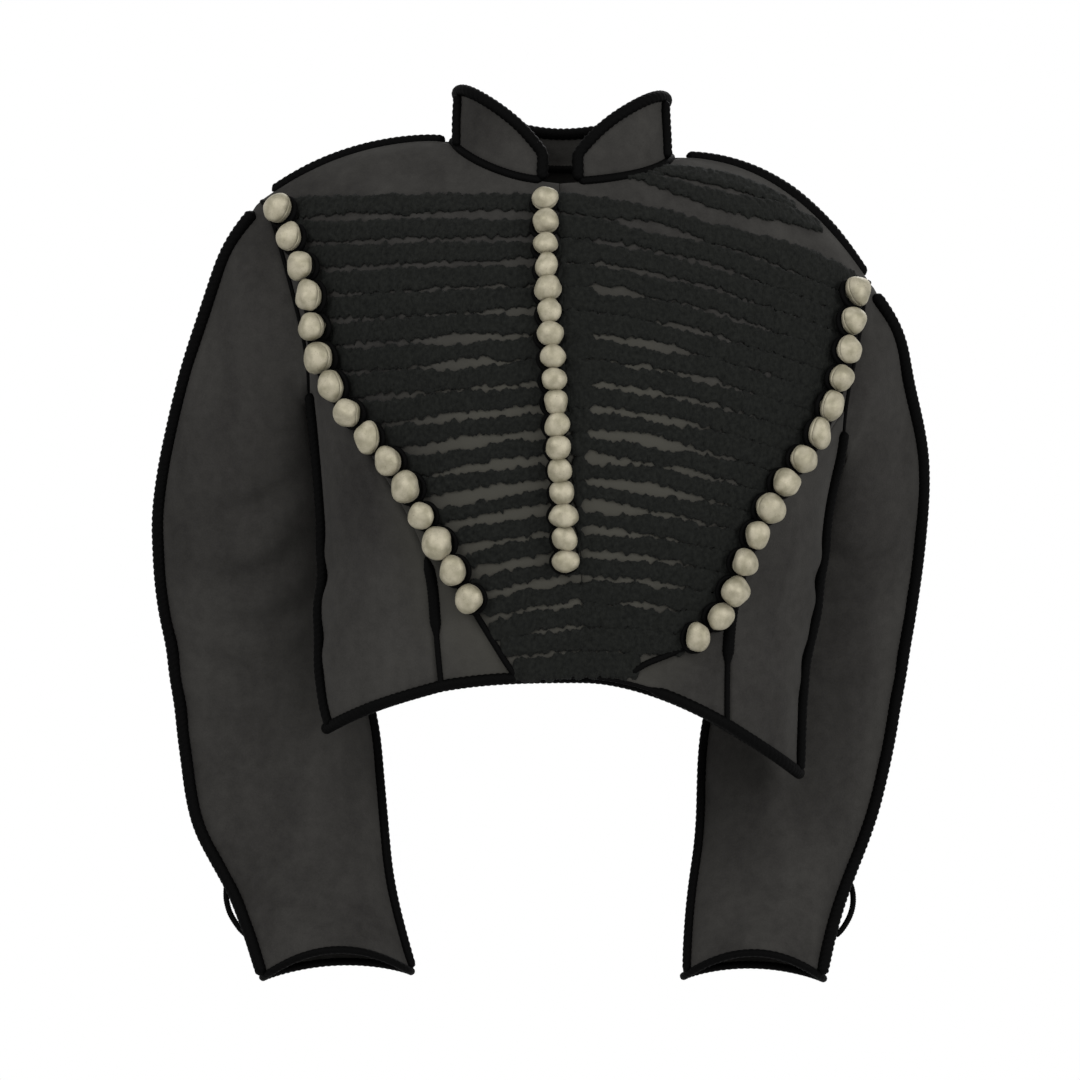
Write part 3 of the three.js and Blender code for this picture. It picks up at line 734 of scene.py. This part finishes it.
def twistedCord(name, route, radius, pitch=cordShape["pitch"], closed=False, taper=None,
                sides=cordShape["sides"], step=cordShape["step"]):
    # taper: shares of the length, and the radius at each
    count = max(int(lengthOf(route) / (step * mm)), 8)
    centres = evenly(route, count)
    centres = softened(centres[:-1] if closed else centres, 3, closed)
    count = len(centres)
    if closed:
        tangents = unit(np.roll(centres, -1, 0) - np.roll(centres, 1, 0))
    else:
        tangents = unit(np.gradient(centres, axis=0))
    across = np.empty_like(centres)
    start = np.cross(tangents[0], (0.3, 0.2, 1.0))
    across[0] = start / np.linalg.norm(start)
    for i in range(1, count):
        turned = across[i - 1] - tangents[i] * (across[i - 1] @ tangents[i])
        across[i] = turned / np.linalg.norm(turned)
    upward = np.cross(tangents, across)
    along = np.arange(count) * (lengthOf(centres) / max(count - 1, 1))
    turns = 2 * np.pi * along / (pitch * mm)
    if closed:
        # whole turns, and the frame's own turn undone, so that the plies meet
        twist = math.atan2(across[-1] @ upward[0], across[-1] @ across[0])
        turns = (round(count * step / pitch) * 2 * np.pi + twist) * np.arange(count) / count
    angles = np.arange(sides) * 2 * np.pi / sides
    size = np.full(count, radius * mm)
    if taper is not None:
        size = np.interp(along / along[-1], taper[0], taper[1]) * mm
    if not closed:
        size = size * roundedEnds(count, step, radius, cordShape["leastEnd"])
    size = plyBulge(angles[None, :] - turns[:, None]) * size[:, None]
    around = (across[:, None, :] * np.cos(angles)[None, :, None]
              + upward[:, None, :] * np.sin(angles)[None, :, None])
    rings = centres[:, None, :] + size[..., None] * around
    return closedPiece(name, rings.reshape(-1, 3).tolist(), tubeFaces(count, sides, closed), cordMaterial,
                       "black_cord")


edging = {
    "hem": 5.0, "thinEnd": 1.7, "thinTo": 50, "thickFrom": 62, "collar": 5.0, "neck": 4.0, "neckOut": 0.9,
    "cuff": 3.3, "armhole": 2.0, "outline": 2.7, "back": 2.0, "shoulderFrom": 95, "shoulderUp": 1.6,
    "shoulderTo": {"right": 237, "left": 243},
    "shoulder": {"right": (4.4, 4.8, 4.8, 4.8, 4.2), "left": (4.4, 6.6, 6.9, 5.4, 4.2)},
}
finePitch = cordShape["finePitch"]
# the hem, thin under the braid at both ends
hemRoute = joinRuns(*(sideNear(name, spot) for name, spot in (
    ("rightFront", (-50, -95, -428)), ("rightSide", (-190, -10, -470)), ("backPanel", (0, 75, -440)),
    ("leftSide", (190, -10, -500)), ("leftFront", (60, -95, -430)))))
thinEnd = np.array([0, edging["thinTo"], edging["thickFrom"]]) * mm / lengthOf(hemRoute)
hemRadii = [edging["thinEnd"], edging["thinEnd"], edging["hem"]]
twistedCord("hemCord", hemRoute, edging["hem"],
            taper=([*thinEnd, *(1 - thinEnd[::-1])], hemRadii + hemRadii[::-1]))
# the collar's edge goes round in order, so what follows its neck seam is its free edge
collarSides = panels["standCollar"]["sides"]
neckRun = sideNear("standCollar", (-2, 62, -30))
neckAt = next(i for i, side in enumerate(collarSides) if side is neckRun)
twistedCord("collarCord", np.vstack(collarSides[neckAt + 1:] + collarSides[:neckAt]), edging["collar"])
neckRun = neckRun + unit((neckRun - np.array((-2 * mm, 0, 0))) * (1, 1, 0)) * edging["neckOut"] * mm
twistedCord("neckSeamCord", neckRun, edging["neck"], finePitch)
for hand, spot in (("right", (-185, 30, -668)), ("left", (153, 31, -671))):
    twistedCord(hand + "CuffCord", sideNear(hand + "Sleeve", spot), edging["cuff"], closed=True)
    # the sleeve's other edge runs, above the elbow, are its armhole
    armhole = [run for run in panels[hand + "Sleeve"]["sides"] if run[:, 2].mean() > -400 * mm]
    armhole = np.vstack([run[:-1] for run in armhole] + [armhole[0][:1]])
    twistedCord(hand + "ArmholeCord", armhole, edging["armhole"], finePitch, closed=True)
    shoulder = sideNear(hand + "Front", (signOf[hand] * 120, 6, 2))
    away = signOf[hand] * shoulder[:, 0] / mm
    shoulder = shoulder[(away > edging["shoulderFrom"]) & (away < edging["shoulderTo"][hand])]
    shoulder = shoulder + np.array((0, 0, edging["shoulderUp"] * mm))
    radii = edging["shoulder"][hand]
    twistedCord(hand + "ShoulderCord", shoulder, radii[0], taper=(np.linspace(0, 1, len(radii)), radii))
    backSeam = sideNear("backPanel", (signOf[hand] * 128, 70, -340))
    twistedCord(hand + "BackSeamCord", backSeam, edging["back"], finePitch)

# Corded seams: the panels, the side of their outline, start and end in z, and radius. A seam runs
# just inside the outline, by a share of its radius.
cordedSeams = {
    "rightCollar": (["standCollar"], "right", 43, 0, 4.2),
    "leftCollar": (["standCollar"], "left", 38, -9, 4.2),
    "rightSideSeam": (["rightSide", "rightFront", "backPanel"], "right", -197, -468, 4.6),
    "leftSideSeam": (["leftSide", "leftFront", "backPanel"], "left", -228, -508, 4.6),
    "rightHindArm": (["rightSleeve"], "right", -52, -668, 5.5),
    "leftHindArm": (["leftSleeve"], "left", -118, -668, 5.5),
    "rightForeArm": (["rightSleeve"], "left", -300, -664, 4.0),
    "leftForeArm": (["leftSleeve"], "right", -330, -666, 4.0),
}
seamSink = {"inset": 0.95, "rightSideSeam": 0.6, "leftSideSeam": 0.5, "lift": 0.5}
for name, (names, look, start, end, radius) in cordedSeams.items():
    inset = radius * seamSink.get(name, seamSink["inset"])
    route = outlineRun(names, look, start, end, inset, radius * seamSink["lift"])
    twistedCord(name + "Cord", route, radius)
print("edging made")


# Plaited braid. The rows are felted together here and there, so that the cloth between them
# shows as slivers.

braid = {
    "rows": 20, "top": -47, "pitch": 19.3, "thick": 3.0, "lift": 0.3, "plait": 8.5, "slant": 0.9,
    "relief": 0.35, "strand": 0.55, "outer": 9.4, "topRise": {"right": 0, "left": 9},
    "riseFrom": (110, 215), "hemReach": 12.5, "least": 2.5, "widest": 19, "step": 0.9, "laidStep": 3.0,
    "linePoints": 90, "overlap": 3.0, "openingShift": 0.4, "crowd": {"right": 0.045, "left": 0},
    "crowdLow": 1.6, "curl": {"right": 1.3, "left": 1.6}, "wander": 1.6, "wanderSize": 46, "wanderEnd": 1.05,
    "nick": 3.6, "nickSize": 5.5, "smallNick": 0.5, "smallNickSize": 2.6, "fray": 0.42, "topFray": 0.21,
    "lump": 0.72, "lumpSize": 4.5, "deepest": 11.5, "felted": 3.0, "closing": 2.6,
    "closingRows": (15.5, 17.5), "endReach": 4.0, "leastEnd": 0.04, "edgeOut": 2.2, "edgeUp": 0.9,
}
# two short rows felted together on the wearer's left shoulder: middle lines in x and z, and the
# half widths above and below at even steps along them
shoulderRows = {
    -1: {"line": [(46, -22), (80, -30), (104, -38), (134, -46), (170, -51), (206, -63)],
         "above": (4, 7, 9, 10, 9, 6), "below": (4, 8, 11, 12, 13, 9)},
    -2: {"line": [(70, -18), (90, -20), (112, -24), (136, -29), (160, -37), (186, -48)],
         "above": (4, 9, 11, 11, 9, 5), "below": (5, 9, 10, 10, 9, 6)},
}
# gaps between the rows: widest at one row, and open between two shares of the way to the edge
gaps = {
    "right": {"least": 3.2, "most": 5.0, "row": 11.5, "rows": 4.6, "vary": 9.0, "size": 55,
              "opens": (-0.05, 0.0), "closes": (0.92, 1.15)},
    "left": {"least": 2.2, "most": 6.6, "row": 10.5, "rows": 4.2, "vary": 9.0, "size": 48,
             "opens": (0.09, 0.14), "closes": (0.35, 1.05)},
}
plastronEdge = {
    "right": [(-231, -49), (-207, -112), (-199, -167), (-176, -212), (-136, -260), (-107, -310), (-77, -361),
              (-42, -418)],
    "left": [(235, -116), (226, -171), (204, -231), (176, -271), (148, -321), (129, -370), (97, -399),
             (60, -415)],
}
outlineEnd = {"right": (-37, -424), "left": (50, -422)}
edgeLine = {hand: smoothCurve(points, 240) for hand, points in plastronEdge.items()}
openingRun = sideNear("rightFront", (4, -120, -235)) / mm
openingRun = openingRun[np.argsort(openingRun[:, 2])]


def openingX(z):
    return float(np.interp(z, openingRun[:, 2], openingRun[:, 0])) + braid["openingShift"]


def rowLine(hand, row):
    # a row's middle line from the opening to the edge, in x and z
    share = row / (braid["rows"] - 1)
    crowd = braid["crowd"][hand] * math.sin(math.pi * share ** braid["crowdLow"])
    edge = edgeLine[hand]
    endZ = edge[0, 1] + (edge[-1, 1] - edge[0, 1]) * (share + crowd)
    endX = float(np.interp(-endZ, -edge[:, 1], edge[:, 0]))
    startZ = braid["top"] - braid["pitch"] * row
    startX = openingX(startZ) - signOf[hand] * braid["overlap"]
    t = np.linspace(0, 1, braid["linePoints"])
    x = startX + (endX - startX) * t
    z = startZ + (endZ - startZ) * t ** braid["curl"][hand]
    sway = np.array([wave(a / braid["wanderSize"], row * 3.7, 2.0 * signOf[hand]) for a in x])
    z += braid["wander"] * sway * np.sin(np.pi * np.clip(t * braid["wanderEnd"], 0, 1))
    return np.stack([x, z], 1)


def heightAt(line, x):
    order = np.argsort(line[:, 0])
    return np.interp(x, line[order, 0], line[order, 1])


def gapBelow(hand, row, x):
    # the sliver of cloth between a row and the next, from the opening to the edge
    s = gaps[hand]
    share = np.abs(x - openingX(braid["top"])) / abs(rowLines[hand][row][-1, 0])
    window = ramp(share, s["opens"]) * (1 - ramp(share, s["closes"]))
    mean = s["least"] + s["most"] * math.exp(-((row - s["row"]) / s["rows"]) ** 2)
    mean -= braid["closing"] * float(ramp(np.array(row), braid["closingRows"]))
    swing = np.array([wave(a / s["size"], row * 5.3 + 0.4, 9.0 * signOf[hand]) for a in x])
    wide = window * (mean + braid["felted"] + s["vary"] * swing) - braid["felted"]
    return np.clip(wide, -braid["felted"], braid["deepest"])


def layOnBody(line, step):
    # spots and normals of the cloth along a line in x and z
    laid = [seenFromFront(bodyTree, x * mm, z * mm)
            for x, z in evenly(line, max(int(lengthOf(line) / braid["laidStep"]), 6))]
    spots, normals = (softened(np.array(column), reach) for column, reach in zip(zip(*laid), (2, 3)))
    count = max(int(lengthOf(spots) / (step * mm)), 10)
    both = evenly(spots, count, np.hstack([spots, normals]))
    return both[:, :3], unit(both[:, 3:])


ringAcross = np.array([1, 0.96, 0.85, 0.68, 0.46, 0.16, -0.16, -0.46, -0.68, -0.85, -0.96, -1, -0.6, 0.6])
ringTop = np.array([0.12, 0.48, 0.74, 0.88, 0.96, 0.92, 0.92, 0.96, 0.88, 0.74, 0.48, 0.12, -0.12, -0.12])


def plait(centres, normals, above, below, seed):
    # above and below are the two half widths along the row
    count, sides = len(centres), len(ringAcross)
    tangents = unit(np.gradient(centres, axis=0))
    across = unit(np.cross(tangents, normals))
    across *= np.where(across[:, 2:] < 0, -1, 1)
    along = distancesAlong(centres) / mm
    a = ringAcross[None, :]
    top = ringTop[None, :]
    half = np.where(a > 0, above[:, None], below[:, None])
    lean = braid["slant"] * np.abs(a) * half
    phase = (along[:, None] + lean) / braid["plait"] + np.where(a > 0, 0.0, 0.5) + seed * 0.37
    strand = np.abs(np.sin(np.pi * phase)) ** braid["strand"]
    nicks = np.array([[wave(s / braid["nickSize"], seed * 2.3 + side)
                       + braid["smallNick"] * wave(s / braid["smallNickSize"], seed + 40 * side)
                       for side in (1, 2)] for s in along])
    nick = np.where(a > 0, nicks[:, :1], nicks[:, 1:]) * np.abs(a) ** 3
    rng = np.random.default_rng(1000 + seed)
    reach = a * (half + braid["nick"] * nick) + rng.normal(0, braid["fray"], (count, sides)) * np.abs(a)
    size = braid["lumpSize"]
    lumps = np.array([[wave(s / size, r / size, seed * 3.1) for r in row] for s, row in zip(along, reach)])
    low = 1 - braid["relief"]
    height = braid["thick"] * top * np.where(top > 0, low + braid["relief"] * strand, 1.0) + braid["lift"]
    height += (braid["lump"] * lumps + rng.normal(0, braid["topFray"], lumps.shape)) * (top > 0)
    close = roundedEnds(count, braid["step"], braid["endReach"], braid["leastEnd"])[:, None] * mm
    points = (centres[:, None, :] + across[:, None, :] * (reach * close)[..., None]
              + normals[:, None, :] * (height * close)[..., None])
    return points.reshape(-1, 3), tubeFaces(count, sides)


rowLines = {hand: {row: rowLine(hand, row) for row in range(braid["rows"])} for hand in hands}
for row, settings in shoulderRows.items():
    rowLines["left"][row] = smoothCurve(settings["line"], braid["linePoints"])
for hand in hands:
    points, faces = [], []
    lines = rowLines[hand]
    for row, line in lines.items():
        centres, normals = layOnBody(line, braid["step"])
        x, z = centres[:, 0] / mm, centres[:, 2] / mm
        above = braid["outer"] + braid["topRise"][hand] * ramp(np.abs(x), braid["riseFrom"])
        below = np.full(len(x), braid["hemReach"])
        if row < 0:
            above, below = (np.interp(np.linspace(0, len(widths) - 1, len(x)), range(len(widths)), widths)
                            for widths in (shoulderRows[row]["above"], shoulderRows[row]["below"]))
        if row > 0:
            above = (heightAt(lines[row - 1], x) - z - gapBelow(hand, row - 1, x)) / 2
        if 0 <= row < braid["rows"] - 1:
            below = (z - heightAt(lines[row + 1], x) - gapBelow(hand, row, x)) / 2
        halves = [np.clip(half, braid["least"], braid["widest"]) for half in (above, below)]
        rowPoints, rowFaces = plait(centres, normals, *halves, row + 2)
        faces.extend(tuple(i + len(points) for i in f) for f in rowFaces)
        points.extend(rowPoints.tolist())
    piece = closedPiece(hand + "Braid", points, faces, braidMaterial, "mohair_braid")
    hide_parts("braid_" + hand)
    outline = np.vstack([edgeLine[hand], outlineEnd[hand]]) + np.array([[signOf[hand] * braid["edgeOut"], 0]])
    centres, normals = layOnBody(outline, cordShape["step"])
    centres += normals * braid["edgeUp"] * mm
    cord = twistedCord(hand + "PlastronCord", centres, edging["outline"], finePitch)
    panels[hand + "Front"]["with"] = [piece, cord]
    print("braid", hand, len(piece.data.polygons), "faces")


# Cords on the seams between front and side, thick at the braid and thin at the hem

seamCord = {
    "right": {"spot": (-190, -60, -230), "top": -328, "thickTo": -392, "thick": 4.8, "thin": 2.4},
    "left": {"spot": (195, -60, -240), "top": -352, "thickTo": -414, "thick": 5.2, "thin": 2.4},
}
seamCordShape = {"tip": 1.6, "full": 0.1, "thinning": 0.85, "forward": 1.2, "pitch": 10}
for hand, settings in seamCord.items():
    run = sideNear(hand + "Front", settings["spot"])
    run = run[np.argsort(-run[:, 2])]
    run = run[run[:, 2] < settings["top"] * mm]
    share = (settings["top"] - settings["thickTo"]) / (settings["top"] - run[-1, 2] / mm)
    thick, thin = settings["thick"], settings["thin"]
    taper = ([0, seamCordShape["full"], share * seamCordShape["thinning"], share, 1],
             [seamCordShape["tip"], thick, thick, thin, thin])
    run = run + np.array((0, -seamCordShape["forward"] * mm, 0))
    cord = twistedCord(hand + "SeamCord", run, thin, seamCordShape["pitch"], taper=taper)
    panels[hand + "Front"]["with"].append(cord)
print("seam cords made")


# Ball buttons, cast in two shells and soldered on a shank
buttonSettings = {
    # the last value of each row moves its buttons' cord rings towards their shaded side, as painted shadow
    "right": {"count": 15, "wide": 11.6, "tall": 12.0, "shadowSideShift": (1.4, -1.2)},
    "centre": {"count": 17, "wide": 10.2, "tall": 9.9, "shadowSideShift": (-1.8, -1.4)},
    "left": {"count": 14, "wide": 11.0, "tall": 11.4, "shadowSideShift": (-1.4, -1.2)},
}
buttonShape = {
    "joint": 0.03, "jointIn": 0.965, "back": -0.9, "backFlat": 0.3, "shankWide": 0.36, "shankLong": 0.28,
    "flat": 0.84, "lump": 0.19, "vary": 0.1, "seatShadowCord": 2.3, "seatShadowIn": 0.6, "seatShadowDepth": 0.6,
    "seatShadowRings": 28, "seatShadowSides": 8,
}


def selectWhere(piece, test):
    bpy.ops.mesh.select_all(action="DESELECT")
    bpy.ops.object.mode_set(mode="OBJECT")
    for vertex in piece.data.vertices:
        vertex.select = test(vertex.co)
    bpy.ops.object.mode_set(mode="EDIT")


def makeButtonModel():
    s = buttonShape
    deselectAll()
    bpy.ops.mesh.primitive_uv_sphere_add(segments=28, ring_count=18, radius=1)
    model = bpy.context.object
    bpy.ops.object.mode_set(mode="EDIT")
    bpy.ops.mesh.select_mode(type="VERT")
    # the soldered joint round the ball
    selectWhere(model, lambda co: abs(co.z) < 0.02)
    bpy.ops.mesh.bevel(offset=s["joint"], segments=2, affect="EDGES")
    selectWhere(model, lambda co: abs(co.z) < 0.01)
    bpy.ops.transform.resize(value=(s["jointIn"], s["jointIn"], 1))
    # the flat back and its shank
    selectWhere(model, lambda co: co.z < s["back"])
    bpy.ops.transform.resize(value=(1, 1, s["backFlat"]), center_override=(0, 0, s["back"]))
    selectWhere(model, lambda co: co.z < s["back"] and co.xy.length < s["shankWide"])
    bpy.ops.mesh.select_mode(type="FACE")
    bpy.ops.mesh.extrude_region_move(TRANSFORM_OT_translate={"value": (0, 0, -s["shankLong"])})
    bpy.ops.object.mode_set(mode="OBJECT")
    return model


buttonModel = makeButtonModel()
modelPoints = readRows(buttonModel.data.vertices, "co")
modelFaces = [tuple(f.vertices) for f in buttonModel.data.polygons]
bpy.data.objects.remove(buttonModel)
buttonRng = random.Random(5)


def buttonPoints(wide, tall):
    # each cast a little uneven, and turned its own way on its shank
    spin = buttonRng.uniform(0, math.pi)
    shift = Vector([buttonRng.uniform(0, 20) for _ in range(3)])
    points = []
    for p in modelPoints:
        lump = 1 + buttonShape["lump"] * noise.noise(Vector(p) + shift)
        x = p[0] * math.cos(spin) - p[1] * math.sin(spin)
        y = p[0] * math.sin(spin) + p[1] * math.cos(spin)
        points.append((x * wide * lump, y * tall * lump, p[2] * wide * buttonShape["flat"] * lump))
    return points


def seatAndShadowRingPoints(wide, tall, shift):
    # a ring of black cord that the button sits in, partly a braid loop round its shank and partly painted
    # shadow: a dark rim round the button, set off towards the side where its shadow falls
    s = buttonShape
    points = []
    for turn in (2 * math.pi * i / s["seatShadowRings"] for i in range(s["seatShadowRings"])):
        for side in (2 * math.pi * k / s["seatShadowSides"] for k in range(s["seatShadowSides"])):
            size = s["seatShadowCord"] * plyBulge(side - 2 * turn)
            out = size * math.cos(side) - s["seatShadowIn"]
            points.append(((wide + out) * math.cos(turn) + shift[0], (tall + out) * math.sin(turn) + shift[1],
                           size * math.sin(side) - s["seatShadowDepth"] * wide))
    return points


seatAndShadowRingFaces = tubeFaces(buttonShape["seatShadowRings"], buttonShape["seatShadowSides"], closed=True)
for row, settings in buttonSettings.items():
    balls, rings, nodes = ([], []), ([], []), []
    for index in range(settings["count"]):
        node = "button_%s_%02d" % (row, index + 1)
        low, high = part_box(node)
        middle = (low + high) / 2
        spot, _, _, _ = bodyTree.find_nearest(middle)
        facing = (middle - spot).normalized()
        sideways = Vector((0, 0, 1)).cross(facing).normalized()
        turn = Matrix((sideways, facing.cross(sideways), facing)).transposed()
        vary = buttonShape["vary"]
        wide = settings["wide"] * (1 + buttonRng.uniform(-vary, vary))
        tall = settings["tall"] * (1 + buttonRng.uniform(-vary, vary))
        for (points, faces), more, moreFaces in (
                (balls, buttonPoints(wide, tall), modelFaces),
                (rings, seatAndShadowRingPoints(wide, tall, settings["shadowSideShift"]), seatAndShadowRingFaces)):
            faces.extend(tuple(i + len(points) for i in f) for f in moreFaces)
            points.extend(tuple(middle + turn @ (Vector(p) * mm)) for p in more)
        nodes.append(node)
    piece = dress(newPiece(row + "Buttons", *balls), pewterMaterial)
    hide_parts(*nodes)
    # the black cord rings: braid loops round the shanks, and painted shadow as a dark rim on one side of each
    # button
    closedPiece(row + "ButtonSeatAndShadowRings", *rings, cordMaterial, "black_cord")
print("buttons made")


# Cord loops at the cuffs, on the outer edge of each sleeve
cuffLoops = {
    "right": {"length": 53.3, "route": [
        (-274.3, 63.3, -594.0), (-274.6, 62.7, -595.6), (-275.0, 62.0, -597.2), (-275.3, 61.3, -598.9),
        (-275.4, 60.2, -601.6), (-275.4, 58.8, -604.8), (-275.2, 57.4, -608.1), (-274.5, 56.0, -611.5),
        (-273.6, 54.5, -614.9), (-272.4, 53.0, -618.4), (-270.7, 51.5, -621.8), (-268.5, 50.0, -625.4),
        (-266.0, 48.4, -628.9), (-263.7, 47.2, -631.9), (-261.6, 46.2, -634.0), (-259.4, 45.3, -636.0),
        (-257.3, 44.5, -638.0)]},
    "left": {"length": 53.0, "route": [
        (231.9, 66.6, -594.0), (232.5, 65.9, -595.6), (233.2, 65.2, -597.2), (233.8, 64.4, -598.9),
        (234.3, 63.2, -601.6), (234.8, 61.8, -604.8), (234.9, 60.3, -608.1), (234.7, 58.7, -611.4),
        (234.2, 57.2, -614.9), (233.2, 55.6, -618.4), (231.9, 54.0, -621.8), (230.1, 52.4, -625.4),
        (227.9, 50.8, -628.9), (225.8, 49.4, -631.9), (223.9, 48.4, -634.0), (221.9, 47.5, -636.0),
        (219.9, 46.6, -638.0)]},
}
loopCord = {"diameter": 5.0, "pitch": 6, "sides": 10, "step": 0.6}
for hand, settings in cuffLoops.items():
    route = np.array(settings["route"]) * mm
    loop = twistedCord(hand + "CuffLoop", route, loopCord["diameter"] / 2, loopCord["pitch"],
                       sides=loopCord["sides"], step=loopCord["step"])
    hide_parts("cuff_loop_" + hand)
    tuple(route[0])
    [tuple(p) for p in route]
print("cuff loops made")


# Cut of each cloth piece: its flat width and length, its area in square metres, and what it hangs on

cuts = {
    "rightFront": ((260, 440), 0.0833, ["backPanel"]),
    "leftFront": ((285, 470), 0.0911, ["backPanel"]),
    "rightSide": ((263, 300), 0.0588, ["backPanel"]),
    "leftSide": ((235, 292), 0.0535, ["backPanel"]),
    "backPanel": ((512, 498), 0.1711, []),
    "rightSleeve": ((416, 650), 0.2186, ["backPanel", "rightFront"]),
    "leftSleeve": ((405, 590), 0.1809, ["backPanel", "leftFront"]),
    "standCollar": ((430, 60), 0.0178, ["backPanel"]),
}
for name, (flat, area, hangsFrom) in cuts.items():
    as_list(panels[name].get("with", []))
    print("sheet", name)


# Floor, world and lamps

studio = {
    "floorZ": -1250, "floorRadius": 3000, "floorTones": (0.66, 0.72), "floorCloud": 900,
    "roughness": 0.9, "world": "#ffffff", "worldStrength": 1.0,
    "lamps": {
        "key": {"from": (-1500, -2600, 1500), "size": 1400, "power": 55},
        "fill": {"from": (2100, -2300, 300), "size": 1600, "power": 50},
        "rear": {"from": (900, 2700, 1500), "size": 1500, "power": 45},
    },
}

deselectAll()
bpy.ops.mesh.primitive_circle_add(vertices=96, radius=studio["floorRadius"] * mm, fill_type="NGON",
                                  location=(0, 0, studio["floorZ"] * mm))
floor = bpy.context.object
floor.name = "floor"
bpy.ops.object.transform_apply(location=True, rotation=True, scale=True)
floorMaterial, floorTree, floorPlace = newMaterial("paleMattPaint")
floorCloud = addNoise(floorTree, floorPlace, studio["floorCloud"], 2)
floorTone = addRange(floorTree, floorCloud, (0, 1), studio["floorTones"])
addShader(floorTree, studio, {"Base Color": floorTone})
floor.data.materials.append(floorMaterial)

world = bpy.data.worlds.new("studio")
world.use_nodes = True
world.node_tree.nodes.clear()
sky = addNode(world.node_tree, "Background", {"Color": linearColour(studio["world"]),
                                              "Strength": studio["worldStrength"]})
addNode(world.node_tree, "OutputWorld", None, {"Surface": sky})
bpy.context.scene.world = world

for name, settings in studio["lamps"].items():
    lamp = bpy.data.lights.new(name, "AREA")
    lamp.shape = "SQUARE"
    lamp.size = settings["size"] * mm
    lamp.energy = settings["power"]
    stand = newObject(name, lamp)
    stand.location = [c * mm for c in settings["from"]]
    aim = Vector([c * mm for c in view["middle"]]) - stand.location
    stand.rotation_euler = aim.to_track_quat("-Z", "Y").to_euler()

bpy.context.scene.view_settings.view_transform = "Standard"
print("studio set")

deselectAll()
